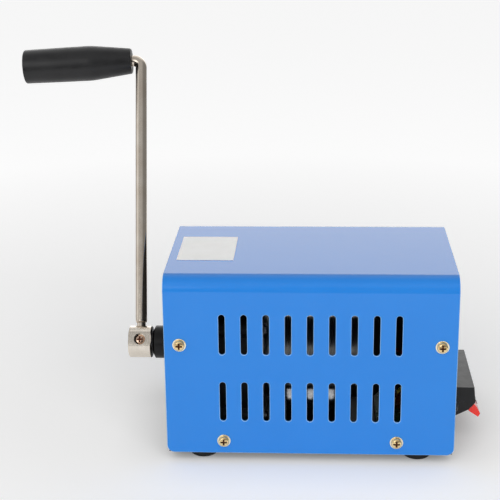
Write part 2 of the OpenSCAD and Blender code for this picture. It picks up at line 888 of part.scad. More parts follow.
module crank_shaft() placed() color("#b9bdc2") {
    shaft_from = hub_x - hub_l / 2 + shaft_recess;
    difference() {
        along_x(shaft_from, crank_at)
            cylinder(d = shaft_d, h = shaft_end - shaft_from);
        in_crank_plane()
            translate([-hub_l / 2, shaft_d / 2 - shaft_flat_depth, -shaft_d / 2])
                cube([hub_l + cut, shaft_flat_depth + cut, shaft_d]);
        along_x(first_x + first_face + seat_gap, crank_at)
            ring(shaft_d + 2 * cut, shaft_d - 2 * groove_depth, clip_t + seat_gap);
    }
}

// Spur wheel with a rim, a thin web with round windows and a hub
module wheel(tooth_module, teeth, turn, face, bore_d, boss) {
    root_d = tooth_module * (teeth - 2 * dedendum_share);
    rim_d = root_d - 2 * rim_w;
    web_t = face * wheel_web_share;
    window_d = (rim_d - boss) * 0.36;
    difference() {
        linear_extrude(face)
            polygon(gear_points(tooth_module, teeth, turn));
        for (z = [-cut, (face + web_t) / 2])
            translate([0, 0, z])
                ring(rim_d, boss, (face - web_t) / 2 + cut);
        for (i = [0:window_count - 1])
            rotate([0, 0, 360 * i / window_count])
                translate([(rim_d + boss) / 4, 0, 0])
                    cylinder(d = window_d, h = face);
        translate([0, 0, -cut])
            cylinder(d = bore_d, h = face + 2 * cut);
    }
}

module crank_wheel() placed() color("#c9a24b")
    along_x(first_x, crank_at)
        wheel(first_module, wheel_teeth, crank_wheel_turn, first_face,
            shaft_d + 2 * run_gap, wheel_hub_d);

module wheel_clip() placed() color("#8b9098")
    along_x(first_x + first_face + seat_gap, crank_at)
        difference() {
            ring(clip_d, shaft_d - 2 * groove_depth + 2 * run_gap, clip_t);
            translate([0, -shaft_d * 0.3, -cut])
                cube([clip_d, shaft_d * 0.6, clip_t + 2 * cut]);
        }

// Gearbox
module panel_screw_places() {
    for (turn = [45:90:315])
        rotate([0, 0, turn])
            translate([panel_screw_r, 0, 0])
                children();
}

module ear_places() {
    for (turn = [45:90:315])
        rotate([0, 0, turn])
            translate([ear_r, 0, 0])
                children();
}

module ear_outline() {
    circle(d = gearbox_d);
    ear_places()
        circle(d = ear_d);
    for (turn = [45:90:315])
        rotate([0, 0, turn])
            translate([gearbox_d / 2 - ear_d, -ear_d / 2])
                square([ear_d * 1.35, ear_d]);
}

module gearbox_housing() placed() color("#232427")
    difference() {
        along_x(left_in, gen_at)
            linear_extrude(lid_in - left_in)
                ear_outline();
        along_x(wall_in, gen_at)
            difference() {
                cylinder(d = gearbox_in_d, h = gearbox_l);
                translate([0, axis_drop, -cut])
                    cylinder(d = boss_d, h = boss_l + cut);
            }
        along_x(left_in - cut, crank_at) {
            cylinder(d = nose_spigot_d + 2 * seat_gap, h = nose_spigot_l - chassis_t + cut + seat_gap);
            cylinder(d = shaft_d + 4 * hole_gap, h = gearbox_l);
        }
        along_x(boss_end - rear_sleeve_l, crank_at)
            cylinder(d = sleeve_d, h = rear_sleeve_l + cut);
        along_x(left_in - cut, gen_at)
            panel_screw_places()
                cylinder(d = screw_d, h = panel_screw_l - chassis_t + cut + seat_gap);
        along_x(lid_in - lid_hole_l, gen_at)
            ear_places()
                cylinder(d = screw_d, h = lid_hole_l + cut);
        for (at = [first_at, second_at])
            along_x(wall_in - pin_seat, at)
                cylinder(d = at == second_at ? step_pin_d : gear_pin_d, h = pin_seat + cut);
    }

module gearbox_lid() placed() color("#b4b8bd")
    difference() {
        along_x(lid_in, gen_at)
            linear_extrude(lid_t)
                ear_outline();
        along_x(lid_in - cut, gen_at) {
            ear_places()
                cylinder(d = screw_d + hole_gap, h = lid_t + 2 * cut);
            cylinder(d = nose_bearing_d + 2 * seat_gap, h = lid_t + 2 * cut);
            for (side = [-1, 1])
                translate([side * gen_screw_r, 0, 0])
                    cylinder(d = screw_d + hole_gap, h = lid_t + 2 * cut);
        }
        for (at = [first_at, second_at])
            along_x(lid_in - cut, at)
                cylinder(d = gear_pin_d, h = pin_seat + cut);
    }

module gearbox_screws() placed() color("#b9bdc2")
    along_x(lid_out, gen_at)
        ear_places()
            small_screw(lid_t + lid_hole_l - screw_end_gap);

module panel_screws() placed() color("#b9bdc2")
    along_x(left_out, gen_at)
        rotate([180, 0, 0])
            panel_screw_places()
                small_screw(panel_screw_l);

module first_gear_pin() placed() color("#c4c8cd")
    along_x(wall_in - pin_seat, first_at)
        cylinder(d = gear_pin_d, h = lid_in - wall_in + 2 * pin_seat);

module second_gear_pin() placed() color("#c4c8cd")
    along_x(wall_in - pin_seat, second_at) {
        cylinder(d = gear_pin_d, h = lid_in - wall_in + 2 * pin_seat);
        cylinder(d = step_pin_d, h = second_x - end_play - wall_in + pin_seat);
    }

module first_compound_gear() placed() color("#b98f3d") {
    along_x(wall_in + end_play, first_at)
        ring(gear_boss_d, gear_pin_d + 2 * run_gap, first_x - wall_in - end_play);
    along_x(first_x, first_at)
        difference() {
            linear_extrude(first_face + face_gap)
                polygon(gear_points(first_module, pinion_teeth, first_pinion_turn));
            translate([0, 0, -cut])
                cylinder(d = gear_pin_d + 2 * run_gap, h = first_face + face_gap + 2 * cut);
        }
    along_x(second_x, first_at)
        wheel(second_module, middle_teeth, first_wheel_turn, second_face,
            gear_pin_d + 2 * run_gap, gear_boss_d * 1.6);
    along_x(second_x + second_face, first_at)
        ring(gear_boss_d, gear_pin_d + 2 * run_gap,
            lid_in - end_play - second_x - second_face);
}

module second_compound_gear() placed() color("#b98f3d") {
    along_x(second_x, second_at)
        difference() {
            linear_extrude(second_face + face_gap)
                polygon(gear_points(second_module, pinion_teeth, second_pinion_turn));
            translate([0, 0, -cut])
                cylinder(d = gear_pin_d + 2 * run_gap, h = second_face + face_gap + 2 * cut);
        }
    along_x(third_x, second_at)
        wheel(third_module, wheel_teeth, second_wheel_turn, third_face,
            gear_pin_d + 2 * run_gap, gear_boss_d * 1.4);
    along_x(third_x + third_face, second_at)
        ring(gear_boss_d * 0.85, gear_pin_d + 2 * run_gap,
            lid_in - end_play - third_x - third_face);
}

module rotor_pinion() placed() color("#c9a24b")
    along_x(pinion_front, gen_at)
        difference() {
            linear_extrude(rotor_pinion_l)
                polygon(gear_points(third_module, pinion_teeth, rotor_pinion_turn));
            translate([0, 0, -cut])
                cylinder(d = rotor_shaft_d, h = rotor_pinion_l + 2 * cut);
        }

// Generator
module generator_can() placed() color("#8f9296")
    difference() {
        union() {
            along_x(can_x, gen_at)
                rotate_extrude()
                    polygon([[0, 0], [can_d / 2 - can_edge, 0], [can_d / 2, can_edge],
                        [can_d / 2, can_l], [0, can_l]]);
            along_x(can_x - can_nose_l, gen_at)
                cylinder(d = nose_bearing_d, h = can_nose_l + cut);
        }
        along_x(can_x + can_wall, gen_at)
            cylinder(d = can_in_d, h = can_l);
        along_x(can_x - can_nose_l - cut, gen_at) {
            cylinder(d = rotor_shaft_d + 4 * hole_gap, h = can_nose_l + can_wall + 2 * cut);
            translate([0, 0, can_nose_l + can_wall + cut - bearing_l])
                cylinder(d = bearing_d, h = bearing_l + cut);
        }
        along_x(can_x - cut, gen_at)
            for (side = [-1, 1])
                translate([side * gen_screw_r, 0, 0])
                    cylinder(d = screw_d, h = can_wall + 2 * cut);
    }

module field_magnets() placed() color("#3b3d40")
    along_x(magnet_x, gen_at)
        for (side = [0, 180])
            rotate([0, 0, side - magnet_angle / 2])
                rotate_extrude(angle = magnet_angle)
                    translate([magnet_out_d / 2 - magnet_t, 0])
                        square([magnet_t, magnet_l]);

module rotor_shaft() placed() color("#c4c8cd")
    along_x(pinion_front, gen_at)
        cylinder(d = rotor_shaft_d, h = rotor_end - pinion_front);

// Slots round the armature: a narrow mouth that opens into a wide slot for the wire
module core_slot_outline(gap) {
    deep = core_d / 2 - core_slot_depth;
    for (i = [0:core_slots - 1])
        rotate([0, 0, 360 * i / core_slots]) {
            translate([deep + gap, -core_slot_w / 2 + gap])
                square([core_slot_depth - core_mouth - 2 * gap, core_slot_w - 2 * gap]);
            if (gap == 0)
                translate([core_d / 2 - 2 * core_mouth, -core_mouth / 2])
                    square([2 * core_mouth + cut, core_mouth]);
        }
}

module rotor_core() placed() color("#6f7378")
    along_x(core_x, gen_at)
        linear_extrude(core_l)
            difference() {
                circle(d = core_d);
                circle(d = rotor_shaft_d);
                core_slot_outline(0);
            }

module rotor_winding() placed() color("#b8682f")
    along_x(core_x - turn_l, gen_at) {
        translate([0, 0, turn_l])
            linear_extrude(core_l)
                core_slot_outline(seat_gap);
        for (z = [0, turn_l + core_l])
            translate([0, 0, z])
                ring(turn_d, rotor_shaft_d + 2 * run_gap, turn_l);
    }

module commutator() placed() color("#b87a45")
    along_x(commutator_x, gen_at)
        difference() {
            cylinder(d = commutator_d, h = commutator_l);
            translate([0, 0, -cut])
                cylinder(d = rotor_shaft_d, h = commutator_l + 2 * cut);
            for (i = [0:commutator_bars - 1])
                rotate([0, 0, 360 * i / commutator_bars])
                    translate([commutator_d / 2 - bar_depth, -bar_gap / 2, -cut])
                        cube([bar_depth + cut, bar_gap, commutator_l + 2 * cut]);
        }

module generator_bearings() placed() color("#c4c8cd") {
    along_x(can_x + can_wall - bearing_l, gen_at)
        ring(bearing_d, rotor_shaft_d + 2 * run_gap, bearing_l);
    along_x(bell_bearing_x, gen_at)
        ring(bearing_d, rotor_shaft_d + 2 * run_gap, bearing_l);
}

module brush_places() {
    translate([brush_x, 0, gen_z])
        for (side = [0, 180])
            rotate([side, 0, 0])
                translate([0, commutator_d / 2 + run_gap, 0])
                    children();
}

module end_bell() placed() color("#38393c")
    difference() {
        union() {
            along_x(can_end, gen_at)
                rotate_extrude()
                    polygon([[0, 0], [can_d / 2, 0], [can_d / 2, bell_l * 0.55],
                        [can_d / 2 - bell_l * 0.45, bell_l], [0, bell_l]]);
            along_x(can_end - bell_spigot_l, gen_at)
                ring(can_in_d - 2 * seat_gap, commutator_d + 4 * air_gap, bell_spigot_l + cut);
        }
        along_x(can_end - bell_spigot_l - cut, gen_at)
            cylinder(d = commutator_d + 4 * air_gap, h = bell_spigot_l + cut + bell_l * 0.2);
        along_x(bell_bearing_x, gen_at)
            cylinder(d = bearing_d, h = bearing_l);
        along_x(can_end, gen_at)
            cylinder(d = rotor_shaft_d + 4 * hole_gap, h = bell_bearing_x + bearing_l - can_end);
        brush_places()
            translate([-brush_w / 2 - seat_gap, -cut, -brush_h / 2 - seat_gap])
                cube([brush_w + 2 * seat_gap, brush_l + seat_gap + cut, brush_h + 2 * seat_gap]);
        along_x(can_end - bell_spigot_l - cut, gen_at)
            for (i = [0:vent_count - 1])
                rotate([0, 0, 360 * (i + 0.5) / vent_count])
                    translate([vent_r, 0, 0])
                        cylinder(d = vent_d, h = bell_spigot_l + bell_l + 2 * cut);
        for (side = [-1, 1])
            translate([can_end + bell_l - gen_tab_l / 2, side * gen_tab_y - gen_tab_w / 2,
                    gen_z - gen_tab_t / 2])
                cube([gen_tab_l, gen_tab_w, gen_tab_t]);
    }

module carbon_brushes() placed() color("#2e2f31")
    brush_places()
        translate([-brush_w / 2, 0, -brush_h / 2])
            cube([brush_w, brush_l, brush_h]);

module generator_tabs() placed() color("#c9a75a")
    for (side = [-1, 1])
        translate([can_end + bell_l - gen_tab_l / 2, side * gen_tab_y - gen_tab_w / 2,
                gen_z - gen_tab_t / 2])
            cube([gen_tab_l * 1.5, gen_tab_w, gen_tab_t]);

module generator_screws() placed() color("#b9bdc2")
    along_x(lid_in, gen_at)
        rotate([180, 0, 0])
            for (side = [-1, 1])
                translate([side * gen_screw_r, 0, 0])
                    small_screw(gen_screw_l);

// Saddle: one folded strip whose two lips hold the can
module saddle_screw_places() {
    for (end = [-1, 1])
        translate([saddle_x + end * saddle_screw_x, 0, 0])
            children();
}

module saddle_outline() {
    lean_top = saddle_lip_top - saddle_lip;
    half = [[saddle_low_y, floor_z], [saddle_low_y, lean_top - 3 * saddle_t],
        [saddle_lip_y, lean_top], [saddle_lip_y, saddle_lip_top],
        [saddle_lip_y - saddle_t, saddle_lip_top], [saddle_lip_y - saddle_t, lean_top + saddle_t / 2],
        [saddle_low_y - saddle_t, lean_top - 2.5 * saddle_t],
        [saddle_low_y - saddle_t, floor_z + saddle_t]];
    polygon(concat(half, [for (i = [len(half) - 1:-1:0]) [-half[i][0], half[i][1]]]));
}

module generator_saddle() placed() color("#b9bcc0")
    difference() {
        translate([saddle_x - saddle_l / 2, 0, 0])
            rotate([90, 0, 90])
                linear_extrude(saddle_l)
                    saddle_outline();
        saddle_screw_places()
            translate([0, 0, floor_z - cut])
                cylinder(d = screw_d, h = saddle_t + 2 * cut);
    }

// Board
module board_screw_places() {
    translate([board_x, 0, 0])
        at_corners(board_l / 2 - pillar_inset, board_w / 2 - pillar_inset)
            children();
}

module output_board() placed() color("#2f6b45")
    difference() {
        translate([board_x - board_l / 2, -board_w / 2, board_low])
            cube([board_l, board_w, board_t]);
        board_screw_places()
            translate([0, 0, board_low - cut])
                cylinder(d = screw_d + hole_gap, h = board_t + 2 * cut);
    }

module board_pillars() placed() color("#c9a75a")
    board_screw_places()
        translate([0, 0, floor_z])
            difference() {
                cylinder(d = pillar_d, h = pillar_h, $fn = 6);
                translate([0, 0, screw_end_gap / 4])
                    cylinder(d = screw_d, h = pillar_h);
            }

module inner_screws() placed() color("#b9bdc2") {
    board_screw_places()
        translate([0, 0, board_top])
            small_screw(board_t + pillar_h - screw_end_gap / 2);
    saddle_screw_places()
        translate([0, 0, deck_z])
            rotate([180, 0, 0])
                small_screw(short_screw_l);
}

module rectifier() placed() color("#1d1d1f") {
    place = [board_x + rectifier_at[0], rectifier_at[1], board_top];
    translate(place + [-rectifier_size[0] / 2, -rectifier_size[1] / 2, lead_stand])
        cube(rectifier_size);
    for (i = [0:lead_count - 1])
        translate(place + [0, (i - (lead_count - 1) / 2) * rectifier_size[1] / lead_count, 0])
            cylinder(d = lead_d, h = lead_stand + cut);
}

module smoothing_capacitor() placed() color("#2b3a66")
    translate([board_x + capacitor_at[0], capacitor_at[1], board_top])
        rotate_extrude()
            polygon([[0, 0], [capacitor_d / 2 - can_crimp, 0], [capacitor_d / 2, can_crimp],
                [capacitor_d / 2, can_crimp * 2], [capacitor_d / 2 - can_crimp, can_crimp * 3],
                [capacitor_d / 2, can_crimp * 4], [capacitor_d / 2, capacitor_l - can_crimp],
                [capacitor_d / 2 - can_crimp, capacitor_l], [0, capacitor_l]]);

// Ring choke that stands on its edge, with wire bands round its core
module choke() placed() color("#d8c23c")
    translate([board_x + choke_at[0], choke_at[1], board_top + choke_d / 2 + choke_band])
        rotate([90, 0, 0])
            translate([0, 0, -choke_t / 2]) {
                ring(choke_d, choke_bore, choke_t);
                for (i = [0:choke_bands - 1])
                    rotate([0, 0, 360 * (i + 0.5) / choke_bands - 90])
                        difference() {
                            translate([choke_bore / 2 - choke_band, -choke_band, -choke_band])
                                cube([(choke_d - choke_bore) / 2 + 2 * choke_band, 2 * choke_band,
                                    choke_t + 2 * choke_band]);
                            translate([choke_bore / 2 + seat_gap, -cut - choke_band, seat_gap])
                                cube([(choke_d - choke_bore) / 2 - 2 * seat_gap, 2 * (choke_band + cut),
                                    choke_t - 2 * seat_gap]);
                        }
            }

// Wires: a round tube swept along a smooth curve through each route's points
function curve_point(p, q, r, s, t) =
    0.5 * (2 * q + (r - p) * t + (2 * p - 5 * q + 4 * r - s) * t * t
        + (3 * q - p - 3 * r + s) * t * t * t);
function curve(route) =
    let (last = len(route) - 1)
    concat([for (i = [0:last - 1], k = [0:wire_steps - 1])
        curve_point(route[max(i - 1, 0)], route[i], route[i + 1], route[min(i + 2, last)],
            k / wire_steps)], [route[last]]);
function unit(v) = v / norm(v);
function tangent(path, i) =
    unit(path[min(i + 1, len(path) - 1)] - path[max(i - 1, 0)]);
function wire_ring(path, i, radius) =
    let (along = tangent(path, i), side = unit(cross(along, wire_side_way)), up = cross(side, along))
    [for (k = [0:wire_sides - 1])
        let (a = 360 * k / wire_sides)
        path[i] + radius * (cos(a) * side + sin(a) * up)];

module wire(route) {
    path = curve(route);
    points = [for (i = [0:len(path) - 1]) each wire_ring(path, i, wire_d / 2)];
    last = (len(path) - 1) * wire_sides;
    faces = concat(
        [[for (k = [0:wire_sides - 1]) k]],
        [for (i = [0:len(path) - 2], k = [0:wire_sides - 1])
            let (a = i * wire_sides + k, b = i * wire_sides + (k + 1) % wire_sides)
            each [[a, a + wire_sides, b + wire_sides], [a, b + wire_sides, b]]],
        [[for (k = [wire_sides - 1:-1:0]) last + k]]);
    polyhedron(points, faces, convexity = 6);
}

module red_wires() placed() color("#c2231c")
    for (route = red_routes)
        translate([board_x, 0, 0])
            wire(route);

module black_wires() placed() color("#1c1c1e")
    for (route = black_routes)
        translate([board_x, 0, 0])
            wire(route);

// Terminal block: the children's X points out of the right panel and their Y up it
module on_block_side(y, width) {
    translate([right_out, y + width / 2, block_z])
        rotate([90, 0, 0])
            linear_extrude(width)
                children();
}

module way_places() {
    for (i = [0:way_count - 1])
        translate([0, (i - (way_count - 1) / 2) * way_pitch, 0])
            children();
}

module terminal_screw_places() {
    for (side = [-1, 1])
        translate([side * (block_w + flange_ear) / 2, 0])
            children();
}

module terminal_block() placed() color("#2a2a2d")
    difference() {
        union() {
            on_block_side(0, block_w)
                polygon([for (p = block_shares) [p[0] * block_d, p[1] * block_h]]);
            translate([right_out, -block_w / 2 - flange_ear, block_z])
                cube([flange_t, block_w + 2 * flange_ear, block_h]);
            translate([right_out - spigot_l, -spigot_w / 2, block_z + (block_h - spigot_h) / 2])
                cube([spigot_l + cut, spigot_w, spigot_h]);
        }
        way_places() {
            translate([right_out, 0, block_z + block_h * wire_hole_share])
                rotate([0, 90, 0])
                    cylinder(d = wire_hole_d, h = block_d + cut);
            on_block_side(0, lever_w + 2 * pocket_side_gap)
                polygon([for (p = pocket_shares) [p[0] * block_d, p[1] * block_h]]);
            translate([right_out - spigot_l - cut, -cavity_w / 2, block_z + block_h * cavity_low_share])
                cube([spigot_l + cut + block_d * cavity_reach_share, cavity_w,
                    block_h * (cavity_high_share - cavity_low_share)]);
            on_block_side(0, lever_w + 2 * (pocket_side_gap + trunnion_l))
                translate([lever_pivot_share[0] * block_d, lever_pivot_share[1] * block_h])
                    circle(d = trunnion_d + 2 * run_gap);
        }
        translate([right_out - cut, 0, block_z + block_h / 2])
            rotate([90, 0, 90])
                linear_extrude(flange_t + 2 * cut)
                    terminal_screw_places()
                        circle(d = screw_d + hole_gap);
    }

// Brass strip in each cavity: a leaf behind the wire hole and a tab out of the back
module terminal_contacts() placed() color("#c9a75a")
    way_places() {
        leaf_x = right_out + block_d * cavity_reach_share * 0.35;
        low = block_z + block_h * cavity_low_share;
        leaf_h = block_h * (cavity_high_share - cavity_low_share);
        translate([leaf_x, -cavity_w / 2, low])
            cube([contact_t, cavity_w, leaf_h]);
        translate([right_out - spigot_l - tab_l, -tab_w / 2, low])
            cube([leaf_x - right_out + spigot_l + tab_l + contact_t, tab_w, contact_t]);
    }

module terminal_screws() placed() color("#2d2e31")
    translate([right_out + flange_t, 0, block_z + block_h / 2])
        rotate([90, 0, 90])
            terminal_screw_places()
                small_screw(flange_t + chassis_t + nut_h + screw_d * 0.4);

module terminal_nuts() placed() color("#b9bdc2")
    translate([right_in, 0, block_z + block_h / 2])
        rotate([90, 0, 90])
            mirror([0, 0, 1])
                terminal_screw_places()
                    small_nut();

module lever(way) {
    translate([0, (way - (way_count - 1) / 2) * way_pitch, 0]) {
        on_block_side(0, lever_w) {
            polygon([for (p = lever_shares) [p[0] * block_d, p[1] * block_h]]);
            translate([lever_pivot_share[0] * block_d, lever_pivot_share[1] * block_h])
                circle(d = lever_hub_d);
        }
        on_block_side(0, lever_w + 2 * (pocket_side_gap + trunnion_l) - 2 * seat_gap)
            translate([lever_pivot_share[0] * block_d, lever_pivot_share[1] * block_h])
                circle(d = trunnion_d);
    }
}

module front_red_lever() placed() color("#e8331f")
    lever(0);

module front_black_lever() placed() color("#1a1a1c")
    lever(1);

module back_red_lever() placed() color("#e8331f")
    lever(2);

module back_black_lever() placed() color("#1a1a1c")
    lever(3);

top_cover();
base_chassis();
cover_screws();
cover_washers();
blank_label();
foot_front_left();
foot_front_right();
foot_back_left();
foot_back_right();
foot_screws();
foot_nuts();
crank_hub();
hub_screw();
crank_rod();
crank_grip();
grip_retainer();
grip_plug();
bearing_nose();
front_sleeve_bearing();
rear_sleeve_bearing();
crank_shaft();
crank_wheel();
wheel_clip();
gearbox_housing();
gearbox_lid();
gearbox_screws();
panel_screws();
first_gear_pin();
second_gear_pin();
first_compound_gear();
second_compound_gear();
rotor_pinion();
generator_can();
field_magnets();
rotor_shaft();
rotor_core();
rotor_winding();
commutator();
generator_bearings();
end_bell();
carbon_brushes();
generator_tabs();
generator_screws();
generator_saddle();
output_board();
board_pillars();
inner_screws();
rectifier();
smoothing_capacitor();
choke();
red_wires();
black_wires();
terminal_block();
terminal_contacts();
terminal_screws();
terminal_nuts();
front_red_lever();
front_black_lever();
back_red_lever();
back_black_lever();
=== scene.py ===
import json
import math

import bmesh
import bpy
from mathutils import Matrix, Vector


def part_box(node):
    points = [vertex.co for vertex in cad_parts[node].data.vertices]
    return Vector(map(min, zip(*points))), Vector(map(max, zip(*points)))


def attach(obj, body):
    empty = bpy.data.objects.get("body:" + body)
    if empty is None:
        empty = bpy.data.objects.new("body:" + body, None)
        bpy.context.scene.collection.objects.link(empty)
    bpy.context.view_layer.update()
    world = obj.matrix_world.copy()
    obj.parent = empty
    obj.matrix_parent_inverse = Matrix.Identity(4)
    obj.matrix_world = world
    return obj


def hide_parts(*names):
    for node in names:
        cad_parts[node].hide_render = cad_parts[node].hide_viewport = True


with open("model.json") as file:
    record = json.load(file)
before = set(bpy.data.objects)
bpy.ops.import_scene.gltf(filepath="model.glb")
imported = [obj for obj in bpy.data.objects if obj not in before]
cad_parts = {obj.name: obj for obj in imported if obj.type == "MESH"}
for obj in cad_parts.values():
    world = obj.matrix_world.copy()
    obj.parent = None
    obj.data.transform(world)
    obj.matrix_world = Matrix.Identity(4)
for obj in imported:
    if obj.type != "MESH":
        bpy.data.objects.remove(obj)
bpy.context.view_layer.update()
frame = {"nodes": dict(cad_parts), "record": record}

# Bench hand crank generator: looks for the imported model, on a pale floor
mm = 0.001
nodes = frame["nodes"]
joints = {joint["name"]: joint for joint in frame["record"]["behaviour"]["joints"]}
slotOf = {part["node"]: part["material_slot"] for part in frame["record"]["subparts"]}
bodyOf = {node: body for body, members in frame["record"]["behaviour"]["bodies"].items()
          for node in members}
coverLow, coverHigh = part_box("top_cover")
caseMiddle = (coverLow + coverHigh) / 2
crankAxis = Vector(joints["crank_turn"]["pos_m"])
gearAxis = Vector(joints["rotor_turn"]["pos_m"])
knee = Vector(joints["grip_spin"]["pos_m"])
spindleWay = Vector(joints["grip_spin"]["axis"]).normalized()
rodWay = (knee - crankAxis).normalized()
alongCase = Vector((1, 0, 0))


def casePoint(x, y, z):
    # millimetres from the middle of the case, heights from the ground
    return Vector((caseMiddle.x + x * mm, caseMiddle.y + y * mm, z * mm))


# camera

cameraSpec = {
    "place": (3.39, -648.51, 314.57),
    "yaw": -3.189,
    "pitch": 18.155,
    "roll": -0.726,
    "lens": 91.505,
    "sensor": 36.0,
    "farthest": 20,
}


def makeCamera(spec):
    yaw, pitch, roll = (math.radians(spec[k]) for k in ("yaw", "pitch", "roll"))
    ahead = Vector((math.sin(yaw) * math.cos(pitch), math.cos(yaw) * math.cos(pitch),
                    -math.sin(pitch)))
    level = Vector((math.cos(yaw), -math.sin(yaw), 0))
    above = level.cross(ahead)
    right = math.cos(roll) * level + math.sin(roll) * above
    up = -math.sin(roll) * level + math.cos(roll) * above
    data = bpy.data.cameras.new("camera")
    data.lens = spec["lens"]
    data.sensor_width = spec["sensor"]
    data.clip_end = spec["farthest"]
    camera = bpy.data.objects.new("camera", data)
    turn = Matrix((right, up, -ahead)).transposed().to_4x4()
    camera.matrix_world = Matrix.Translation(casePoint(*spec["place"])) @ turn
    bpy.context.scene.collection.objects.link(camera)
    bpy.context.scene.camera = camera


makeCamera(cameraSpec)
print("camera placed")


# node helpers for the finishes

finishes = {}


def newFinish(slotName, colour, roughness, metallic=0.0, coat=0.0, coatRoughness=0.08,
              specular=0.5):
    finish = bpy.data.materials.new(slotName)
    finish.use_nodes = True
    finishes[slotName] = finish
    shader = finish.node_tree.nodes["Principled BSDF"]
    shader.inputs["Base Color"].default_value = (*colour, 1)
    shader.inputs["Roughness"].default_value = roughness
    shader.inputs["Metallic"].default_value = metallic
    shader.inputs["Coat Weight"].default_value = coat
    shader.inputs["Coat Roughness"].default_value = coatRoughness
    shader.inputs["Specular IOR Level"].default_value = specular
    return finish.node_tree, shader


def shade(red, green, blue):
    # screen values from 0 to 255 to the linear colour that the shader takes
    values = []
    for value in (red, green, blue):
        share = value / 255
        values.append(share / 12.92 if share <= 0.04045 else ((share + 0.055) / 1.055) ** 2.4)
    return tuple(values)


def dimmer(colour, share):
    return tuple(value * share for value in colour)


def feed(tree, socket, value):
    # another node's output is linked, and a plain value is set
    if isinstance(value, bpy.types.NodeSocket):
        tree.links.new(value, socket)
    else:
        socket.default_value = value


def mathStep(tree, operation, *values):
    step = tree.nodes.new("ShaderNodeMath")
    step.operation = operation
    for socket, value in zip(step.inputs, values):
        feed(tree, socket, value)
    return step.outputs["Value"]


def vectorStep(tree, operation, *values):
    step = tree.nodes.new("ShaderNodeVectorMath")
    step.operation = operation
    for socket, value in zip(step.inputs, values):
        feed(tree, socket, value)
    return step.outputs


def moveTowards(tree, first, second, share):
    mix = tree.nodes.new("ShaderNodeMix")
    for socket, value in zip((mix.inputs[0], mix.inputs[2], mix.inputs[3]), (share, first, second)):
        feed(tree, socket, value)
    return mix.outputs[0]


def objectPlace(tree, stretch=(1, 1, 1), turn=(0, 0, 0)):
    coords = tree.nodes.new("ShaderNodeTexCoord")
    place = tree.nodes.new("ShaderNodeMapping")
    place.inputs["Scale"].default_value = stretch
    place.inputs["Rotation"].default_value = turn
    tree.links.new(coords.outputs["Object"], place.inputs["Vector"])
    return place.outputs["Vector"]


def speckle(tree, size, detail, stretch=(1, 1, 1), turn=(0, 0, 0)):
    # soft noise whose blotches are about that many millimetres wide
    noise = tree.nodes.new("ShaderNodeTexNoise")
    noise.inputs["Scale"].default_value = 1 / (size * mm)
    noise.inputs["Detail"].default_value = detail
    tree.links.new(objectPlace(tree, stretch, turn), noise.inputs["Vector"])
    return noise.outputs["Fac"]


def cells(tree, size):
    # round cells that are about that many millimetres wide
    voronoi = tree.nodes.new("ShaderNodeTexVoronoi")
    voronoi.inputs["Scale"].default_value = 1 / (size * mm)
    tree.links.new(objectPlace(tree), voronoi.inputs["Vector"])
    return voronoi.outputs["Distance"]


def stripes(tree, axis, pitch, distortion=0.0):
    # at a scale of 1 this texture repeats every pi / 10
    wave = tree.nodes.new("ShaderNodeTexWave")
    wave.bands_direction = axis
    wave.inputs["Scale"].default_value = math.pi / (pitch * mm) / 10
    wave.inputs["Distortion"].default_value = distortion
    wave.inputs["Detail"].default_value = 1
    tree.links.new(objectPlace(tree), wave.inputs["Vector"])
    return wave.outputs["Fac"]


faceRings = 1.6  # how much closer the rings lie on a face than on a side


def toolMarks(tree, axisPoint, pitch):
    # grooves of a lathe tool: rings round the axis, on the sides and on the faces
    coords = tree.nodes.new("ShaderNodeTexCoord")
    offset = vectorStep(tree, "SUBTRACT", coords.outputs["Object"], tuple(axisPoint))["Vector"]
    along = vectorStep(tree, "DOT_PRODUCT", offset, tuple(alongCase))["Value"]
    foot = tree.nodes.new("ShaderNodeVectorMath")
    foot.operation = "SCALE"
    foot.inputs[0].default_value = tuple(alongCase)
    tree.links.new(along, foot.inputs["Scale"])
    across = vectorStep(tree, "SUBTRACT", offset, foot.outputs["Vector"])["Vector"]
    radius = vectorStep(tree, "LENGTH", across)["Value"]
    noise = tree.nodes.new("ShaderNodeTexNoise")
    noise.noise_dimensions = "1D"
    noise.inputs["Scale"].default_value = 1 / (pitch * mm)
    noise.inputs["Detail"].default_value = 2
    tree.links.new(mathStep(tree, "MULTIPLY_ADD", radius, faceRings, along), noise.inputs["W"])
    return noise.outputs["Fac"]


def spread(tree, value, low, high, start=0.3, end=0.7):
    # start to end, or else the middle of a noise, stretched to another range
    step = tree.nodes.new("ShaderNodeMapRange")
    step.inputs["From Min"].default_value = start
    step.inputs["From Max"].default_value = end
    step.inputs["To Min"].default_value = low
    step.inputs["To Max"].default_value = high
    tree.links.new(value, step.inputs["Value"])
    return step.outputs["Result"]


def blendColours(tree, factor, first, second):
    mix = tree.nodes.new("ShaderNodeMix")
    mix.data_type = "RGBA"
    tree.links.new(factor, mix.inputs["Factor"])
    colourInputs = [s for s in mix.inputs if s.type == "RGBA"]
    for socket, value in zip(colourInputs, (first, second)):
        feed(tree, socket, (*value, 1) if isinstance(value, tuple) else value)
    return [s for s in mix.outputs if s.type == "RGBA"][0]


def colourBy(tree, shader, factor, first, second):
    tree.links.new(blendColours(tree, factor, first, second), shader.inputs["Base Color"])


def clouds(tree, shader, first, second, size, detail, share=1):
    # the colour drifts between two tones
    colourBy(tree, shader, spread(tree, speckle(tree, size, detail), 0, share), first, second)


def unevenGloss(tree, shader, low, high, size, detail):
    # the roughness drifts between two values
    tree.links.new(spread(tree, speckle(tree, size, detail), low, high),
                   shader.inputs["Roughness"])


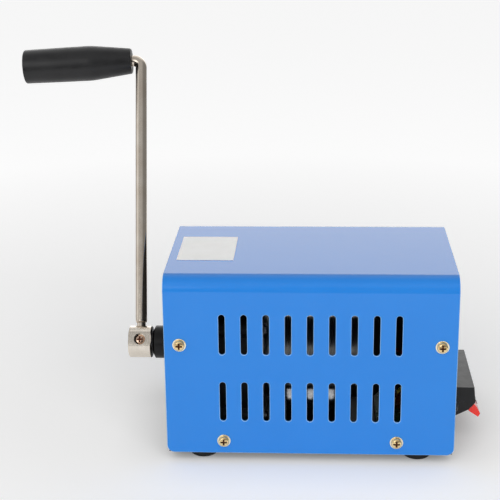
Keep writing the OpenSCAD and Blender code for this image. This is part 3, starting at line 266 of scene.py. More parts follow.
def relief(tree, shader, height, depth, strength):
    # bump of that many millimetres; a second call goes on top of the first
    bump = tree.nodes.new("ShaderNodeBump")
    bump.inputs["Strength"].default_value = strength
    bump.inputs["Distance"].default_value = depth * mm
    tree.links.new(height, bump.inputs["Height"])
    linked = shader.inputs["Normal"].links
    if linked:
        tree.links.new(linked[0].from_socket, bump.inputs["Normal"])
    tree.links.new(bump.outputs["Normal"], shader.inputs["Normal"])


# finishes, one for each slot of the record, and a few more for parts of a piece

def enamel(slotName, colour, deep, roughness, specular=0.5):
    # sprayed and baked enamel: slow changes of depth, and orange peel
    tree, shader = newFinish(slotName, colour, roughness, specular=specular)
    clouds(tree, shader, colour, deep, size=26, detail=3)
    unevenGloss(tree, shader, low=roughness - 0.02, high=roughness + 0.03, size=5, detail=4)
    relief(tree, shader, speckle(tree, size=1.6, detail=1), depth=0.0012, strength=0.3)


def yellowZinc(slotName, gold, rosy, leafy):
    # yellow passivated zinc: gold with rosy and greenish clouds
    tree, shader = newFinish(slotName, gold, roughness=0.2, metallic=0.85)
    rosier = spread(tree, speckle(tree, size=2.2, detail=4), 0, 1)
    leafier = spread(tree, speckle(tree, size=1.4, detail=3, turn=(1, 2, 0)), 0, 0.6)
    colourBy(tree, shader, leafier, blendColours(tree, rosier, gold, rosy), leafy)
    unevenGloss(tree, shader, low=0.14, high=0.26, size=0.5, detail=4)
    relief(tree, shader, speckle(tree, size=0.25, detail=3), depth=0.004, strength=0.4)


def zincPlate(slotName, colour, roughness, crystal=1.2, change=0.09, ripple=0.006):
    # bright zinc: small crystals that differ in tone
    tree, shader = newFinish(slotName, colour, roughness, metallic=1.0)
    tint = spread(tree, cells(tree, crystal), 0, 1, start=0.1, end=0.8)
    colourBy(tree, shader, tint, colour, dimmer(colour, share=0.78))
    unevenGloss(tree, shader, low=roughness - change, high=roughness + change, size=0.9, detail=4)
    relief(tree, shader, speckle(tree, size=0.3, detail=3), depth=ripple, strength=0.5)


def turnedMetal(slotName, colour, roughness, axisPoint, pitch, depth, stain=0.85):
    # metal off the lathe: tool rings, and handling marks that dull it in places
    tree, shader = newFinish(slotName, colour, roughness, metallic=1.0)
    clouds(tree, shader, colour, dimmer(colour, share=stain), size=6, detail=4)
    marks = toolMarks(tree, axisPoint, pitch)
    tree.links.new(spread(tree, marks, low=roughness - 0.06, high=roughness + 0.08),
                   shader.inputs["Roughness"])
    relief(tree, shader, marks, depth, strength=0.6)
    relief(tree, shader, speckle(tree, size=0.2, detail=2), depth=0.002, strength=0.4)


def drawnNickel(slotName):
    # polished nickel on a drawn rod: lines along it, finger marks and tiny pits
    warm = shade(229, 219, 206)
    tree, shader = newFinish(slotName, warm, roughness=0.13, metallic=1.0)
    clouds(tree, shader, warm, shade(214, 201, 186), size=9, detail=4)
    unevenGloss(tree, shader, low=0.1, high=0.24, size=4, detail=5)
    lean = math.atan2(rodWay.y, rodWay.z)
    drawn = speckle(tree, size=0.35, detail=3, stretch=(1, 1, 0.03), turn=(lean, 0, 0))
    relief(tree, shader, drawn, depth=0.003, strength=0.5)
    pits = spread(tree, cells(tree, size=2.4), 0, 1, start=0.0, end=0.06)
    relief(tree, shader, pits, depth=0.004, strength=0.5)


def moulding(slotName, colour, light, roughness, grainSize, depth, specular=0.5, coat=0.0):
    # moulded plastic: spark-eroded grain, a faint bloom and rubbed patches
    tree, shader = newFinish(slotName, colour, roughness, coat=coat, specular=specular)
    clouds(tree, shader, colour, light, size=7, detail=4)
    unevenGloss(tree, shader, low=roughness - 0.06, high=roughness + 0.08, size=3.5, detail=5)
    relief(tree, shader, speckle(tree, grainSize, detail=3), depth, strength=0.5)


def rubber(slotName):
    # matt rubber with dust in its grain
    black = shade(22, 22, 23)
    tree, shader = newFinish(slotName, black, roughness=0.75, specular=0.3)
    clouds(tree, shader, black, shade(74, 72, 70), size=1.6, detail=5, share=0.22)
    relief(tree, shader, speckle(tree, size=0.3, detail=4), depth=0.03, strength=0.7)


def labelFilm(slotName):
    # blank film: faint fibre under a glossy face
    white = shade(240, 240, 238)
    tree, shader = newFinish(slotName, white, roughness=0.42, coat=0.7, coatRoughness=0.25)
    clouds(tree, shader, white, shade(234, 234, 231), size=8, detail=4)
    unevenGloss(tree, shader, low=0.38, high=0.5, size=0.8, detail=3)
    fibre = speckle(tree, size=0.45, detail=4, stretch=(1, 0.4, 1))
    relief(tree, shader, fibre, depth=0.008, strength=0.5)


def castAlloy(slotName, colour, roughness, metallic, ringPitch=None):
    # die casting: pebbled skin, and tool rings where it is machined
    tree, shader = newFinish(slotName, colour, roughness, metallic=metallic)
    clouds(tree, shader, colour, dimmer(colour, share=0.75), size=3, detail=4)
    unevenGloss(tree, shader, low=roughness - 0.08, high=roughness + 0.1, size=1.2, detail=4)
    relief(tree, shader, speckle(tree, size=0.6, detail=3), depth=0.03, strength=0.6)
    if ringPitch:
        relief(tree, shader, toolMarks(tree, gearAxis, ringPitch), depth=0.01, strength=0.6)


def speckledSolid(slotName, colour, fleck, roughness, metallic, size):
    # sintered or pressed stock: flecks in a duller ground
    tree, shader = newFinish(slotName, colour, roughness, metallic=metallic)
    flecks = spread(tree, cells(tree, size), 1, 0, start=0.0, end=0.5)
    colourBy(tree, shader, flecks, colour, fleck)
    unevenGloss(tree, shader, low=roughness - 0.08, high=roughness + 0.08, size=size * 2, detail=3)
    relief(tree, shader, speckle(tree, size, detail=3), depth=0.012, strength=0.6)


def laminations(slotName):
    # stacked electrical steel: thin sheets with a dark line between them
    steel = shade(156, 158, 162)
    tree, shader = newFinish(slotName, steel, roughness=0.42, metallic=0.9)
    lines = stripes(tree, "X", pitch=0.5)
    gaps = spread(tree, lines, 0, 1, start=0.05, end=0.4)
    colourBy(tree, shader, gaps, shade(70, 66, 62), steel)
    unevenGloss(tree, shader, low=0.36, high=0.5, size=1.5, detail=4)
    relief(tree, shader, lines, depth=0.03, strength=0.8)


def windings(slotName):
    # many turns of enamelled wire
    wire = shade(196, 112, 62)
    tree, shader = newFinish(slotName, wire, roughness=0.3, metallic=0.85, coat=0.6)
    turns = stripes(tree, "DIAGONAL", pitch=0.45, distortion=0.6)
    colourBy(tree, shader, turns, shade(120, 52, 26), wire)
    unevenGloss(tree, shader, low=0.24, high=0.38, size=2, detail=4)
    relief(tree, shader, turns, depth=0.12, strength=0.9)


def circuitBoard(slotName):
    # solder mask over copper tracks, with a bare pad here and there
    green = shade(18, 62, 40)
    tree, shader = newFinish(slotName, green, roughness=0.3, coat=0.4)
    tracks = tree.nodes.new("ShaderNodeTexBrick")
    tracks.inputs["Scale"].default_value = 130
    tracks.inputs["Mortar Size"].default_value = 0.03
    tree.links.new(objectPlace(tree), tracks.inputs["Vector"])
    tracked = blendColours(tree, tracks.outputs["Fac"], green, shade(34, 92, 58))
    pads = spread(tree, cells(tree, size=4.2), 1, 0, start=0.1, end=0.13)
    colourBy(tree, shader, pads, tracked, shade(196, 192, 184))
    unevenGloss(tree, shader, low=0.25, high=0.4, size=4, detail=3)
    relief(tree, shader, tracks.outputs["Fac"], depth=0.03, strength=0.6)


enamel("cover_paint", (0.018, 0.243, 0.775), (0.0165, 0.237, 0.765), roughness=0.13)
enamel("chassis_paint", shade(20, 20, 22), shade(15, 15, 17), roughness=0.4, specular=0.4)
# painted highlight: paler paint for the bevelled rims of the slots and cut edges
enamel("paintEdgeHighlight", (0.3, 0.55, 0.9), (0.22, 0.49, 0.87), roughness=0.3)
# painted shade: darker paint for the inside faces of the cover
enamel("coverInsideShade", shade(26, 34, 52), shade(20, 27, 42), roughness=0.55, specular=0.3)
enamel("black_enamel", shade(20, 20, 21), shade(15, 15, 16), roughness=0.36, specular=0.3)
yellowZinc("yellow_zinc", shade(255, 226, 166), shade(250, 202, 150), shade(242, 226, 166))
yellowZinc("washerZinc", shade(255, 246, 216), shade(252, 236, 200), shade(246, 242, 208))
zincPlate("bright_zinc", shade(208, 212, 218), roughness=0.3)
zincPlate("saddleZinc", shade(214, 215, 218), roughness=0.13, crystal=1.6, change=0.03,
          ripple=0.0006)
zincPlate("tab_brass", shade(214, 194, 134), roughness=0.32, crystal=0.8)
drawnNickel("rod_nickel")
rubber("foot_rubber")
labelFilm("label_film")
laminations("core_steel")
windings("copper_wire")
circuitBoard("board_green")
castAlloy("housing_cast", shade(38, 39, 41), roughness=0.5, metallic=0.2)
castAlloy("lid_cast", shade(204, 208, 212), roughness=0.36, metallic=1.0, ringPitch=0.35)
turnedMetal("satin_nickel", shade(240, 231, 218), roughness=0.2, axisPoint=crankAxis, pitch=0.22,
            depth=0.008)
# painted shade for the hub's end towards the case
turnedMetal("turnedEndShade", shade(70, 66, 62), roughness=0.4, axisPoint=crankAxis, pitch=0.22,
            depth=0.008)
turnedMetal("copper_plate", shade(250, 214, 188), roughness=0.16, axisPoint=crankAxis, pitch=0.3,
            depth=0.004)
turnedMetal("ground_steel", shade(206, 208, 212), roughness=0.2, axisPoint=crankAxis, pitch=0.1,
            depth=0.002)
turnedMetal("gear_brass", shade(216, 182, 104), roughness=0.3, axisPoint=gearAxis, pitch=0.25,
            depth=0.006)
turnedMetal("can_steel", shade(226, 224, 222), roughness=0.31, axisPoint=gearAxis, pitch=0.4,
            depth=0.0015, stain=0.94)
# painted shade with a little grime, for the cross recesses of the screws
speckledSolid("recessShadeAndGrime", shade(78, 36, 16), shade(132, 78, 34), roughness=0.4, metallic=0.6,
              size=0.5)
speckledSolid("bronze", shade(196, 146, 92), shade(120, 82, 48), roughness=0.42, metallic=0.9,
              size=0.35)
speckledSolid("ferrite", shade(50, 50, 54), shade(92, 92, 96), roughness=0.55, metallic=0.1,
              size=0.6)
speckledSolid("carbon", shade(38, 38, 40), shade(96, 94, 90), roughness=0.5, metallic=0.3,
              size=0.4)
moulding("grip_plastic", shade(28, 28, 29), shade(36, 36, 37), roughness=0.36, grainSize=0.5,
         depth=0.01, specular=0.4)
moulding("bell_plastic", shade(34, 34, 36), shade(44, 44, 44), roughness=0.5, grainSize=0.6,
         depth=0.03)
moulding("component_black", shade(26, 26, 28), shade(34, 34, 36), roughness=0.42, grainSize=0.3,
         depth=0.02)
moulding("capacitor_sleeve", shade(18, 22, 40), shade(24, 29, 50), roughness=0.22, grainSize=1.5,
         depth=0.01, coat=0.5)
moulding("choke_yellow", shade(216, 198, 72), shade(228, 212, 92), roughness=0.5, grainSize=0.5,
         depth=0.04)
moulding("darkWire", shade(58, 26, 16), shade(76, 36, 20), roughness=0.25, grainSize=0.8,
         depth=0.01, coat=0.5)
moulding("red_wire", shade(150, 18, 15), shade(164, 24, 20), roughness=0.4, grainSize=0.8,
         depth=0.01)
moulding("black_wire", shade(28, 28, 30), shade(36, 36, 38), roughness=0.4, grainSize=0.8,
         depth=0.01)
moulding("block_plastic", shade(11, 11, 13), shade(16, 16, 17), roughness=0.32, grainSize=0.45,
         depth=0.014, specular=0.38)
moulding("red_lever", shade(252, 40, 20), shade(244, 34, 16), roughness=0.2, grainSize=1.2,
         depth=0.006, coat=0.5)
moulding("black_lever", shade(24, 24, 26), shade(30, 30, 32), roughness=0.2, grainSize=1.2,
         depth=0.006, coat=0.3)
print("finishes made:", len(finishes))


# mesh helpers

# millimetres, and degrees between faces
meshSpec = {
    "weldWithin": 0.0005,
    "copyWeldWithin": 0.001,
    "flatWithin": 0.6,
    "sharpFrom": 30,
    "bevelSegments": 2,
    "cornerSegments": 5,
}


def settle(shape):
    # outward normals, and the same order of edges and faces in every run
    bmesh.ops.recalc_face_normals(shape, faces=shape.faces)
    shape.verts.index_update()
    count = len(shape.verts)

    def order(item):
        number = 0
        for index in sorted(vert.index for vert in item.verts)[:3]:
            number = number * count + index
        return number

    shape.edges.sort(key=order)
    shape.faces.sort(key=order)


def closedPiece(name, shape, nodeName, body, slotName, edge=0.0, extra=()):
    # a bmesh made into a finished piece that stands for a node of the frame
    for face in shape.faces:
        face.smooth = True
    mesh = bpy.data.meshes.new(name)
    shape.to_mesh(mesh)
    shape.free()
    mesh.materials.append(finishes[slotName])
    for finishName in extra:
        mesh.materials.append(finishes[finishName])
    piece = bpy.data.objects.new(name, mesh)
    bpy.context.scene.collection.objects.link(piece)
    # the bevel faces of the cover take the paler paint, a painted highlight
    if edge:
        softenEdges(piece, edge, 1 if "paintEdgeHighlight" in extra else -1)
    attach(piece, body)
    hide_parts(nodeName)
    return piece


def softenEdges(piece, edge, edgeHighlightSlot):
    bevel = piece.modifiers.new("edge", "BEVEL")
    bevel.material = edgeHighlightSlot
    bevel.width = edge * mm
    bevel.segments = meshSpec["bevelSegments"]
    bevel.limit_method = "ANGLE"
    bevel.angle_limit = math.radians(meshSpec["sharpFrom"])
    bevel.miter_outer = "MITER_ARC"
    normals = piece.modifiers.new("normals", "WEIGHTED_NORMAL")
    normals.keep_sharp = True


def copyOfNode(nodeName):
    # the node's own solid as clean faces, ready for softer edges
    shape = bmesh.new()
    shape.from_mesh(nodes[nodeName].data)
    bmesh.ops.remove_doubles(shape, verts=shape.verts, dist=meshSpec["copyWeldWithin"] * mm)
    bmesh.ops.dissolve_limit(shape, angle_limit=math.radians(meshSpec["flatWithin"]),
                             verts=shape.verts, edges=shape.edges)
    for layer in list(shape.loops.layers.float_vector.values()):
        shape.loops.layers.float_vector.remove(layer)
    return shape


def square(way):
    # two directions square to a way and to each other
    side = way.cross(Vector((0, 0, 1)) if abs(way.z) < 0.9 else alongCase).normalized()
    return side, way.cross(side).normalized()


def turnedShape(profile, point, way, steps, soften):
    # an outline of (distance along, radius) in millimetres turned round an axis
    side, _ = square(way)
    shape = bmesh.new()
    corners = [shape.verts.new(point + way * along * mm + side * radius * mm)
               for along, radius in profile]
    edges = [shape.edges.new(pair) for pair in zip(corners, corners[1:])]
    for index, size in soften:
        bmesh.ops.bevel(shape, geom=[corners[index]], offset=size * mm, offset_type="OFFSET",
                        segments=meshSpec["cornerSegments"], profile=0.5, affect="VERTICES",
                        material=-1)
    bmesh.ops.spin(shape, geom=list(shape.verts) + list(shape.edges), cent=point, axis=way,
                   angle=math.tau, steps=steps, use_merge=True)
    bmesh.ops.remove_doubles(shape, verts=shape.verts, dist=meshSpec["weldWithin"] * mm)
    settle(shape)
    return shape


# crank rod: neck, shoulder, straight, bend and spindle pulled from one ring

rodSpec = {
    "diameter": 6.5,
    "neckDiameter": 5.0,
    "neckStart": 6.0,
    "shoulder": 10.35,
    "roundOver": 1.3,
    "roundSteps": 6,
    "bendRadius": 4.3,
    "spindleEnd": 63.4,
    "ringSides": 48,
    "bendSteps": 18,
    "lastRing": 0.1,
    "edge": 0.12,
}


def makeRod(spec):
    radius = spec["diameter"] / 2
    neck = spec["neckDiameter"] / 2
    turn = rodWay.angle(spindleWay)
    tangent = spec["bendRadius"] * math.tan(turn / 2)
    inward = (spindleWay - rodWay * spindleWay.dot(rodWay)).normalized()
    length = (knee - crankAxis).length / mm
    shape = bmesh.new()
    side, other = square(rodWay)
    start = crankAxis + rodWay * spec["neckStart"] * mm
    placed = Matrix.Translation(start) @ Matrix((side, other, rodWay)).transposed().to_4x4()
    made = bmesh.ops.create_circle(shape, cap_ends=True, segments=spec["ringSides"],
                                   radius=neck * mm, matrix=placed)
    ring = list({edge for vert in made["verts"] for edge in vert.link_edges})
    centre = start
    stations = [(spec["shoulder"], neck), (spec["shoulder"], radius - spec["roundOver"])]
    for step in range(1, spec["roundSteps"] + 1):
        turned = math.pi / 2 * step / spec["roundSteps"]
        stations.append((spec["shoulder"] + spec["roundOver"] * (1 - math.cos(turned)),
                         radius - spec["roundOver"] * (1 - math.sin(turned))))
    stations += [(length - tangent - spec["lastRing"], radius), (length - tangent, radius)]
    before = neck
    for along, after in stations:
        grown = bmesh.ops.extrude_edge_only(shape, edges=ring)["geom"]
        ring = [item for item in grown if isinstance(item, bmesh.types.BMEdge)
                and len(item.link_faces) == 1]
        verts = list({vert for edge in ring for vert in edge.verts})
        target = crankAxis + rodWay * along * mm
        bmesh.ops.translate(shape, verts=verts, vec=target - centre)
        centre = target
        factor = after / before
        bmesh.ops.scale(shape, verts=verts, vec=(factor,) * 3, space=Matrix.Translation(-centre))
        before = after
    middle = centre + inward * spec["bendRadius"] * mm
    bent = bmesh.ops.spin(shape, geom=ring + list({v for e in ring for v in e.verts}), cent=middle,
                          axis=rodWay.cross(spindleWay).normalized(), angle=turn,
                          steps=spec["bendSteps"], use_duplicate=False)["geom_last"]
    ring = [item for item in bent if isinstance(item, bmesh.types.BMEdge)]
    grown = bmesh.ops.extrude_edge_only(shape, edges=ring)["geom"]
    verts = [item for item in grown if isinstance(item, bmesh.types.BMVert)]
    bmesh.ops.translate(shape, verts=verts, vec=spindleWay * (spec["spindleEnd"] - tangent) * mm)
    bmesh.ops.contextual_create(shape, geom=[e for e in shape.edges if e.is_boundary])
    bmesh.ops.remove_doubles(shape, verts=shape.verts, dist=meshSpec["weldWithin"] * mm)
    settle(shape)
    closedPiece("crankRod", shape, "crank_rod", "crank", "rod_nickel", spec["edge"])


makeRod(rodSpec)

# grip: a turned handle with a soft shoulder

gripSpec = {
    "start": 5.4,
    "length": 63.0,
    "boreRadius": 3.33,
    "neckRadius": 7.35,
    "shoulderAt": 23.6,
    "shoulderRadius": 10.15,
    "waistAfter": 18,
    "waistDrop": 0.12,
    "endRadius": 9.75,
    "pocketRadius": 6.5,
    "pocketDepth": 8.0,
    "sides": 112,
    "softened": ((6, 1.1), (4, 1.6), (2, 0.8), (1, 0.3), (7, 0.3)),
}


def makeGrip(spec):
    start = knee + spindleWay * spec["start"] * mm
    length = spec["length"]
    shoulder, widest = spec["shoulderAt"], spec["shoulderRadius"]
    profile = (
        (length - spec["pocketDepth"], spec["boreRadius"]),
        (0, spec["boreRadius"]),
        (0, spec["neckRadius"]),
        (shoulder / 2, (spec["neckRadius"] + widest) / 2),
        (shoulder, widest),
        (shoulder + spec["waistAfter"], widest - spec["waistDrop"]),
        (length, spec["endRadius"]),
        (length, spec["pocketRadius"]),
        (length - spec["pocketDepth"], spec["pocketRadius"]),
        (length - spec["pocketDepth"], spec["boreRadius"]),
    )
    shape = turnedShape(profile, start, spindleWay, spec["sides"], spec["softened"])
    closedPiece("crankGrip", shape, "crank_grip", "grip", "grip_plastic")


makeGrip(gripSpec)
print("rod and grip made")

# the other outer pieces keep their solids and get soft edges

coverSpec = {
    "edge": 0.3,
    "facing": 0.3,
    "roofFrom": 30,
}


def makeCover(spec):
    # painted shade: the inside faces get a darker paint; painted highlight: the rims of the slots
    # and the cut edges get a paler paint
    sheet = copyOfNode("top_cover")
    for face in sheet.faces:
        spot = face.calc_center_median() - caseMiddle
        # painted shade: faces inside the case and the underside of the roof get the darker paint
        inwards = abs(face.normal.y) > spec["facing"] and face.normal.y * spot.y < 0
        downwards = face.normal.z < -spec["facing"] and spot.z > spec["roofFrom"] * mm
        if inwards or downwards:
            face.material_index = 2
    cover = closedPiece("coverShell", sheet, "top_cover", "case", "cover_paint", spec["edge"],
                        extra=("paintEdgeHighlight", "coverInsideShade"))
    cover.modifiers["edge"].use_clamp_overlap = False
    cover.modifiers["edge"].loop_slide = False


coverScrewSpec = {
    "places": ((67.0, 66.0), (45.0, 12.2)),
    "recessReach": 1.9,
    "domeDepth": 0.6,
    "recessFloor": 1.6,
    "steep": 0.4,
    "edge": 0.1,
    "washerEdge": 0.12,
}


def makeCoverScrews(spec):
    # pan heads on washers; the cross recess gets a dark finish that is painted shade with a little
    # grime
    screws = copyOfNode("cover_screws")
    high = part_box("cover_screws")[1]
    for face in screws.faces:
        spot = (face.calc_center_median() - caseMiddle) / mm
        depth = (high.y - caseMiddle.y) / mm - abs(spot.y)
        height = spot.z + caseMiddle.z / mm
        reach = min(math.hypot(abs(spot.x) - x, height - z) for x, z in spec["places"])
        # painted shade: recess walls and floor take the dark finish
        sunk = abs(face.normal.y) < spec["steep"] or depth > spec["domeDepth"]
        if sunk and reach < spec["recessReach"] and depth < spec["recessFloor"]:
            face.material_index = 1
    closedPiece("coverScrews", screws, "cover_screws", "case", "yellow_zinc", spec["edge"],
                extra=("recessShadeAndGrime",))
    washers = copyOfNode("cover_washers")
    for face in washers.faces:
        face.material_index = 1
    closedPiece("coverWashers", washers, "cover_washers", "case", "yellow_zinc",
                spec["washerEdge"], extra=("washerZinc",))


hubSpec = {
    "edge": 0.3,
    "endFacing": 0.3,
}


def makeHub(spec):
    # painted shade: the end towards the case gets a much darker turned finish
    collar = copyOfNode("crank_hub")
    for face in collar.faces:
        if face.normal.x > spec["endFacing"]:
            face.material_index = 1
    closedPiece("hubCollar", collar, "crank_hub", "crank", "satin_nickel", spec["edge"],
                extra=("turnedEndShade",))


hubScrewSpec = {
    "recessReach": 1.9,
    "recessTop": 0.5,
    "recessFloor": 1.7,
    "edge": 0.1,
}


def makeHubScrew(spec):
    # copper coloured cross head; its recess gets a dark finish that is painted shade with a little
    # grime
    screw = copyOfNode("hub_screw")
    low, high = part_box("hub_screw")
    middle = (low + high) / 2
    way = middle - crankAxis
    way.x = 0
    way.normalize()
    top = max((vert.co - crankAxis).dot(way) for vert in screw.verts)
    for face in screw.faces:
        spot = face.calc_center_median() - crankAxis
        depth = (top - spot.dot(way)) / mm
        reach = (spot - way * spot.dot(way) - alongCase * (middle - crankAxis).x).length / mm
        if reach < spec["recessReach"] and spec["recessTop"] < depth < spec["recessFloor"]:
            face.material_index = 1
    closedPiece("hubScrew", screw, "hub_screw", "crank", "copper_plate", spec["edge"],
                extra=("recessShadeAndGrime",))


saddleSpec = {
    "leanFrom": 22.3,
    "lean": 10,
    "edge": 0.25,
}


def makeSaddle(spec):
    # bright lips that spring back a little at the top
    saddle = copyOfNode("generator_saddle")
    low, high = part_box("generator_saddle")
    for vert in saddle.verts:
        raised = vert.co.z - spec["leanFrom"] * mm
        if raised > 0:
            side = math.copysign(1, vert.co.y - (low.y + high.y) / 2)
            vert.co.y -= side * raised * math.tan(math.radians(spec["lean"]))
    for face in saddle.faces:
        face.material_index = 1
    closedPiece("generatorSaddle", saddle, "generator_saddle", "case", "bright_zinc",
                spec["edge"], extra=("saddleZinc",))


chokeSpec = {
    "coreReach": 7.6,
    "flatFacing": 0.5,
    "edge": 0.15,
}


def makeChoke(spec):
    # yellow core that shows between the bands of dark enamelled wire
    ring = copyOfNode("choke")
    low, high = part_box("choke")
    middle = (low + high) / 2
    for face in ring.faces:
        reach = max(math.hypot(vert.co.x - middle.x, vert.co.z - middle.z) for vert in face.verts)
        if reach > spec["coreReach"] * mm or abs(face.normal.y) > spec["flatFacing"]:
            face.material_index = 1
    closedPiece("ringChoke", ring, "choke", "case", "choke_yellow", spec["edge"],
                extra=("darkWire",))


makeCover(coverSpec)
makeCoverScrews(coverScrewSpec)
makeHub(hubSpec)
makeHubScrew(hubScrewSpec)
makeSaddle(saddleSpec)
makeChoke(chokeSpec)

softEdges = {
    "base_chassis": ("chassisTray", 0.2),
    "grip_plug": ("gripPlug", 0.3),
    "bearing_nose": ("noseCollar", 0.3),
    "blank_label": ("blankLabel", 0.06),
    "foot_front_left": ("footFrontLeft", 0.3),
    "foot_front_right": ("footFrontRight", 0.3),
    "foot_back_left": ("footBackLeft", 0.3),
    "foot_back_right": ("footBackRight", 0.3),
    "terminal_block": ("terminalBody", 0.35),
    "terminal_screws": ("terminalScrews", 0.1),
    "front_red_lever": ("frontRedLever", 0.5),
    "front_black_lever": ("frontBlackLever", 0.5),
    "back_red_lever": ("backRedLever", 0.5),
    "back_black_lever": ("backBlackLever", 0.5),
    "gearbox_housing": ("gearboxHousing", 0.4),
    "gearbox_lid": ("gearboxLid", 0.35),
    "generator_can": ("generatorCan", 0.3),
    "end_bell": ("endBell", 0.35),
}
for nodeName, (pieceName, edge) in softEdges.items():
    closedPiece(pieceName, copyOfNode(nodeName), nodeName, bodyOf[nodeName], slotOf[nodeName], edge)
print("soft edged pieces made:", len(softEdges))

# every node wears the finish of its slot
for nodeName, node in nodes.items():
    node.data.materials.clear()
    node.data.materials.append(finishes[slotOf[nodeName]])


# floor, world and lamps

stageSpec = {
    "floorRadius": 8.0,
    "floorSides": 96,
    "nearGrey": 0.395,
    "middleGrey": 0.24,
    "farGrey": 0.13,
    "middleAt": (0.12, 0.6),
    "farAt": (0.6, 4.0),
    "contactReach": 0.035,
    "contactLight": 0.3,
    "floorColour": 0.77,
    "backGrey": 0.95,
    "fill": 0.25,
    "mirrorFront": 0.08,
    "mirrorAbove": 0.46,
    "mirrorBehind": 0.8,
    "mirrorHighBehind": 0.97,
    "mirrorRight": 0.24,
    "mirrorLeft": 0.5,
    "frontRise": (0.42, 0.62),
    "backRise": (0.5, 0.85),
    "backFrom": (0.05, 0.45),
    "rightFrom": (0.35, 0.75),
    "leftFrom": (-0.75, -0.4),
    "lobes": (
        ((-0.93, -0.1, 0.35), 0.35, 0.88, 0.98),
        ((-0.38, -0.85, 0.36), 1.8, 0.94, 0.985),
    ),
    "sweepGlow": 1.01,
    "sweepHeights": (0.35, 0.6),
    "sweepSides": (0.3, 0.55),
    "sweepDepth": (0.2, 0.5),
    "sheetRight": 0.26,
    "sheetLeft": 0.52,
    "sheetFront": 0.12,
    "sheetHalf": 0.3,
    "sheetEdge": 0.12,
    "sheetReach": 0.42,
}


def sheetInMirrors(tree, spec, place, glossy):
    # polished metal sees the lit part of the sheet, and a dim room beyond its edges
    parts = tree.nodes.new("ShaderNodeSeparateXYZ")
    tree.links.new(place, parts.inputs[0])
    half, edge = spec["sheetHalf"], spec["sheetEdge"]
    right = spread(tree, parts.outputs["X"], 1, spec["sheetRight"], half, half + edge)
    left = spread(tree, parts.outputs["X"], spec["sheetLeft"], 1, -half - edge, -half)
    front = spread(tree, parts.outputs["Y"], spec["sheetFront"], 1, -spec["sheetReach"] - edge,
                   -spec["sheetReach"])
    lit = mathStep(tree, "MULTIPLY", mathStep(tree, "MULTIPLY", right, left), front)
    return moveTowards(tree, 1.0, lit, glossy)


def makeFloor(spec):
    shape = bmesh.new()
    bmesh.ops.create_circle(shape, cap_ends=True, segments=spec["floorSides"],
                            radius=spec["floorRadius"])
    mesh = bpy.data.meshes.new("floor")
    shape.to_mesh(mesh)
    shape.free()
    floor = bpy.data.objects.new("floor", mesh)
    bpy.context.scene.collection.objects.link(floor)
    finish = bpy.data.materials.new("floorSheet")
    finish.use_nodes = True
    tree = finish.node_tree
    tree.nodes.clear()
    output = tree.nodes.new("ShaderNodeOutputMaterial")
    paper = tree.nodes.new("ShaderNodeBsdfDiffuse")
    glow = tree.nodes.new("ShaderNodeEmission")
    both = tree.nodes.new("ShaderNodeAddShader")
    path = tree.nodes.new("ShaderNodeLightPath").outputs
    seen = mathStep(tree, "MAXIMUM", path["Is Camera Ray"], path["Is Glossy Ray"])
    seen = mathStep(tree, "MAXIMUM", seen, path["Is Transmission Ray"])
    place = tree.nodes.new("ShaderNodeTexCoord").outputs["Object"]
    # painted shade: the floor's glow is darker near the case and brighter far off
    distance = vectorStep(tree, "LENGTH", place)["Value"]
    near = spread(tree, distance, spec["nearGrey"], spec["nearGrey"] + spec["middleGrey"],
                  *spec["middleAt"])
    far = spread(tree, distance, 0, spec["farGrey"], *spec["farAt"])
    # painted contact shadow: ambient occlusion darkens the glow under and beside the pieces
    shadow = tree.nodes.new("ShaderNodeAmbientOcclusion")
    shadow.inputs["Distance"].default_value = spec["contactReach"]
    contact = spread(tree, shadow.outputs["AO"], spec["contactLight"], 1, 0, 1)
    strength = mathStep(tree, "MULTIPLY", mathStep(tree, "ADD", near, far), contact)
    strength = mathStep(tree, "MULTIPLY", strength, seen)
    lit = sheetInMirrors(tree, spec, place, path["Is Glossy Ray"])
    tree.links.new(mathStep(tree, "MULTIPLY", strength, lit), glow.inputs["Strength"])
    grey = tree.nodes.new("ShaderNodeCombineXYZ")
    level = mathStep(tree, "MULTIPLY", lit, spec["floorColour"])
    for socket in grey.inputs:
        tree.links.new(level, socket)
    tree.links.new(grey.outputs[0], paper.inputs["Color"])
    tree.links.new(paper.outputs["BSDF"], both.inputs[0])
    tree.links.new(glow.outputs["Emission"], both.inputs[1])
    tree.links.new(both.outputs["Shader"], output.inputs["Surface"])
    mesh.materials.append(finish)


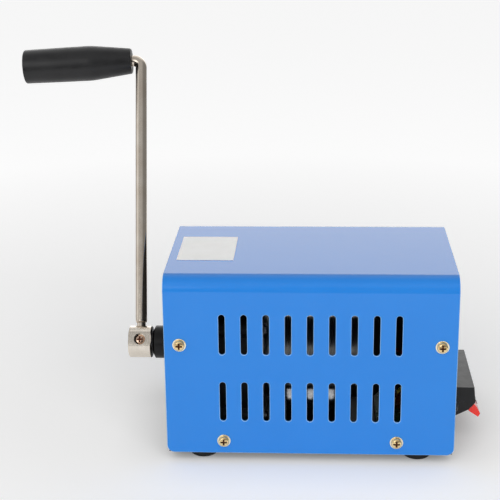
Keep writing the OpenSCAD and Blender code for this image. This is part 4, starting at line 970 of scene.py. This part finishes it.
def skyInMirrors(tree, spec):
    # dark room in front, soft box above, bright sweep behind, dim on both sides
    way = tree.nodes.new("ShaderNodeTexCoord").outputs["Generated"]
    parts = tree.nodes.new("ShaderNodeSeparateXYZ")
    tree.links.new(way, parts.inputs[0])
    x, y, z = (parts.outputs[axis] for axis in "XYZ")
    front = spread(tree, z, spec["mirrorFront"], spec["mirrorAbove"], *spec["frontRise"])
    back = spread(tree, z, spec["mirrorBehind"], spec["mirrorHighBehind"], *spec["backRise"])
    glow = moveTowards(tree, front, back, spread(tree, y, 0, 1, *spec["backFrom"]))
    glow = moveTowards(tree, glow, spec["mirrorRight"], spread(tree, x, 0, 1, *spec["rightFrom"]))
    glow = moveTowards(tree, glow, spec["mirrorLeft"], spread(tree, x, 1, 0, *spec["leftFrom"]))
    for lobeWay, brightness, rim, heart in spec["lobes"]:
        towards = vectorStep(tree, "DOT_PRODUCT", way, lobeWay)["Value"]
        glow = mathStep(tree, "ADD", glow, spread(tree, towards, 0, brightness, rim, heart))
    low = spread(tree, z, spec["sweepGlow"], 0, *spec["sweepHeights"])
    middle = spread(tree, mathStep(tree, "ABSOLUTE", x), 1, 0, *spec["sweepSides"])
    sweep = mathStep(tree, "MULTIPLY", mathStep(tree, "MULTIPLY", low, middle),
                     spread(tree, y, 0, 1, *spec["sweepDepth"]))
    return mathStep(tree, "ADD", glow, sweep)


def makeWorld(spec):
    # pale to the camera, a plain fill for the piece, and a studio for what mirrors
    world = bpy.data.worlds.new("studio")
    bpy.context.scene.world = world
    world.use_nodes = True
    tree = world.node_tree
    tree.nodes.clear()
    output = tree.nodes.new("ShaderNodeOutputWorld")
    shaders = []
    for strength in (spec["fill"], skyInMirrors(tree, spec), spec["backGrey"]):
        light = tree.nodes.new("ShaderNodeBackground")
        light.inputs["Color"].default_value = (1, 1, 1, 1)
        feed(tree, light.inputs["Strength"], strength)
        shaders.append(light.outputs[0])
    fill, mirrored, backdrop = shaders
    path = tree.nodes.new("ShaderNodeLightPath").outputs
    direct = mathStep(tree, "MAXIMUM", path["Is Camera Ray"], path["Is Transmission Ray"])
    mixed = fill
    for share, shader in ((path["Is Glossy Ray"], mirrored), (direct, backdrop)):
        mix = tree.nodes.new("ShaderNodeMixShader")
        for socket, source in zip(mix.inputs, (share, mixed, shader)):
            tree.links.new(source, socket)
        mixed = mix.outputs[0]
    tree.links.new(mixed, output.inputs["Surface"])


lampSpec = {
    "frontSoft": {"from": (90, -1700, 880), "size": 2.8, "power": 36.5},
    "leftSoft": {"from": (-1500, -700, 900), "size": 1.2, "power": 1.2},
}
lampAim = (0, 0, 60)


def makeLamp(name, spec):
    data = bpy.data.lights.new(name, "AREA")
    data.shape = "DISK"
    data.size = spec["size"]
    data.energy = spec["power"]
    lamp = bpy.data.objects.new(name, data)
    place = casePoint(*spec["from"])
    aim = casePoint(*lampAim) - place
    turn = aim.to_track_quat("-Z", "Y").to_matrix().to_4x4()
    lamp.matrix_world = Matrix.Translation(place) @ turn
    lamp.visible_glossy = False
    bpy.context.scene.collection.objects.link(lamp)


makeFloor(stageSpec)
makeWorld(stageSpec)
for lampName, spec in lampSpec.items():
    makeLamp(lampName, spec)
bpy.context.scene.view_settings.view_transform = "Standard"
print("floor, world and lamps made")
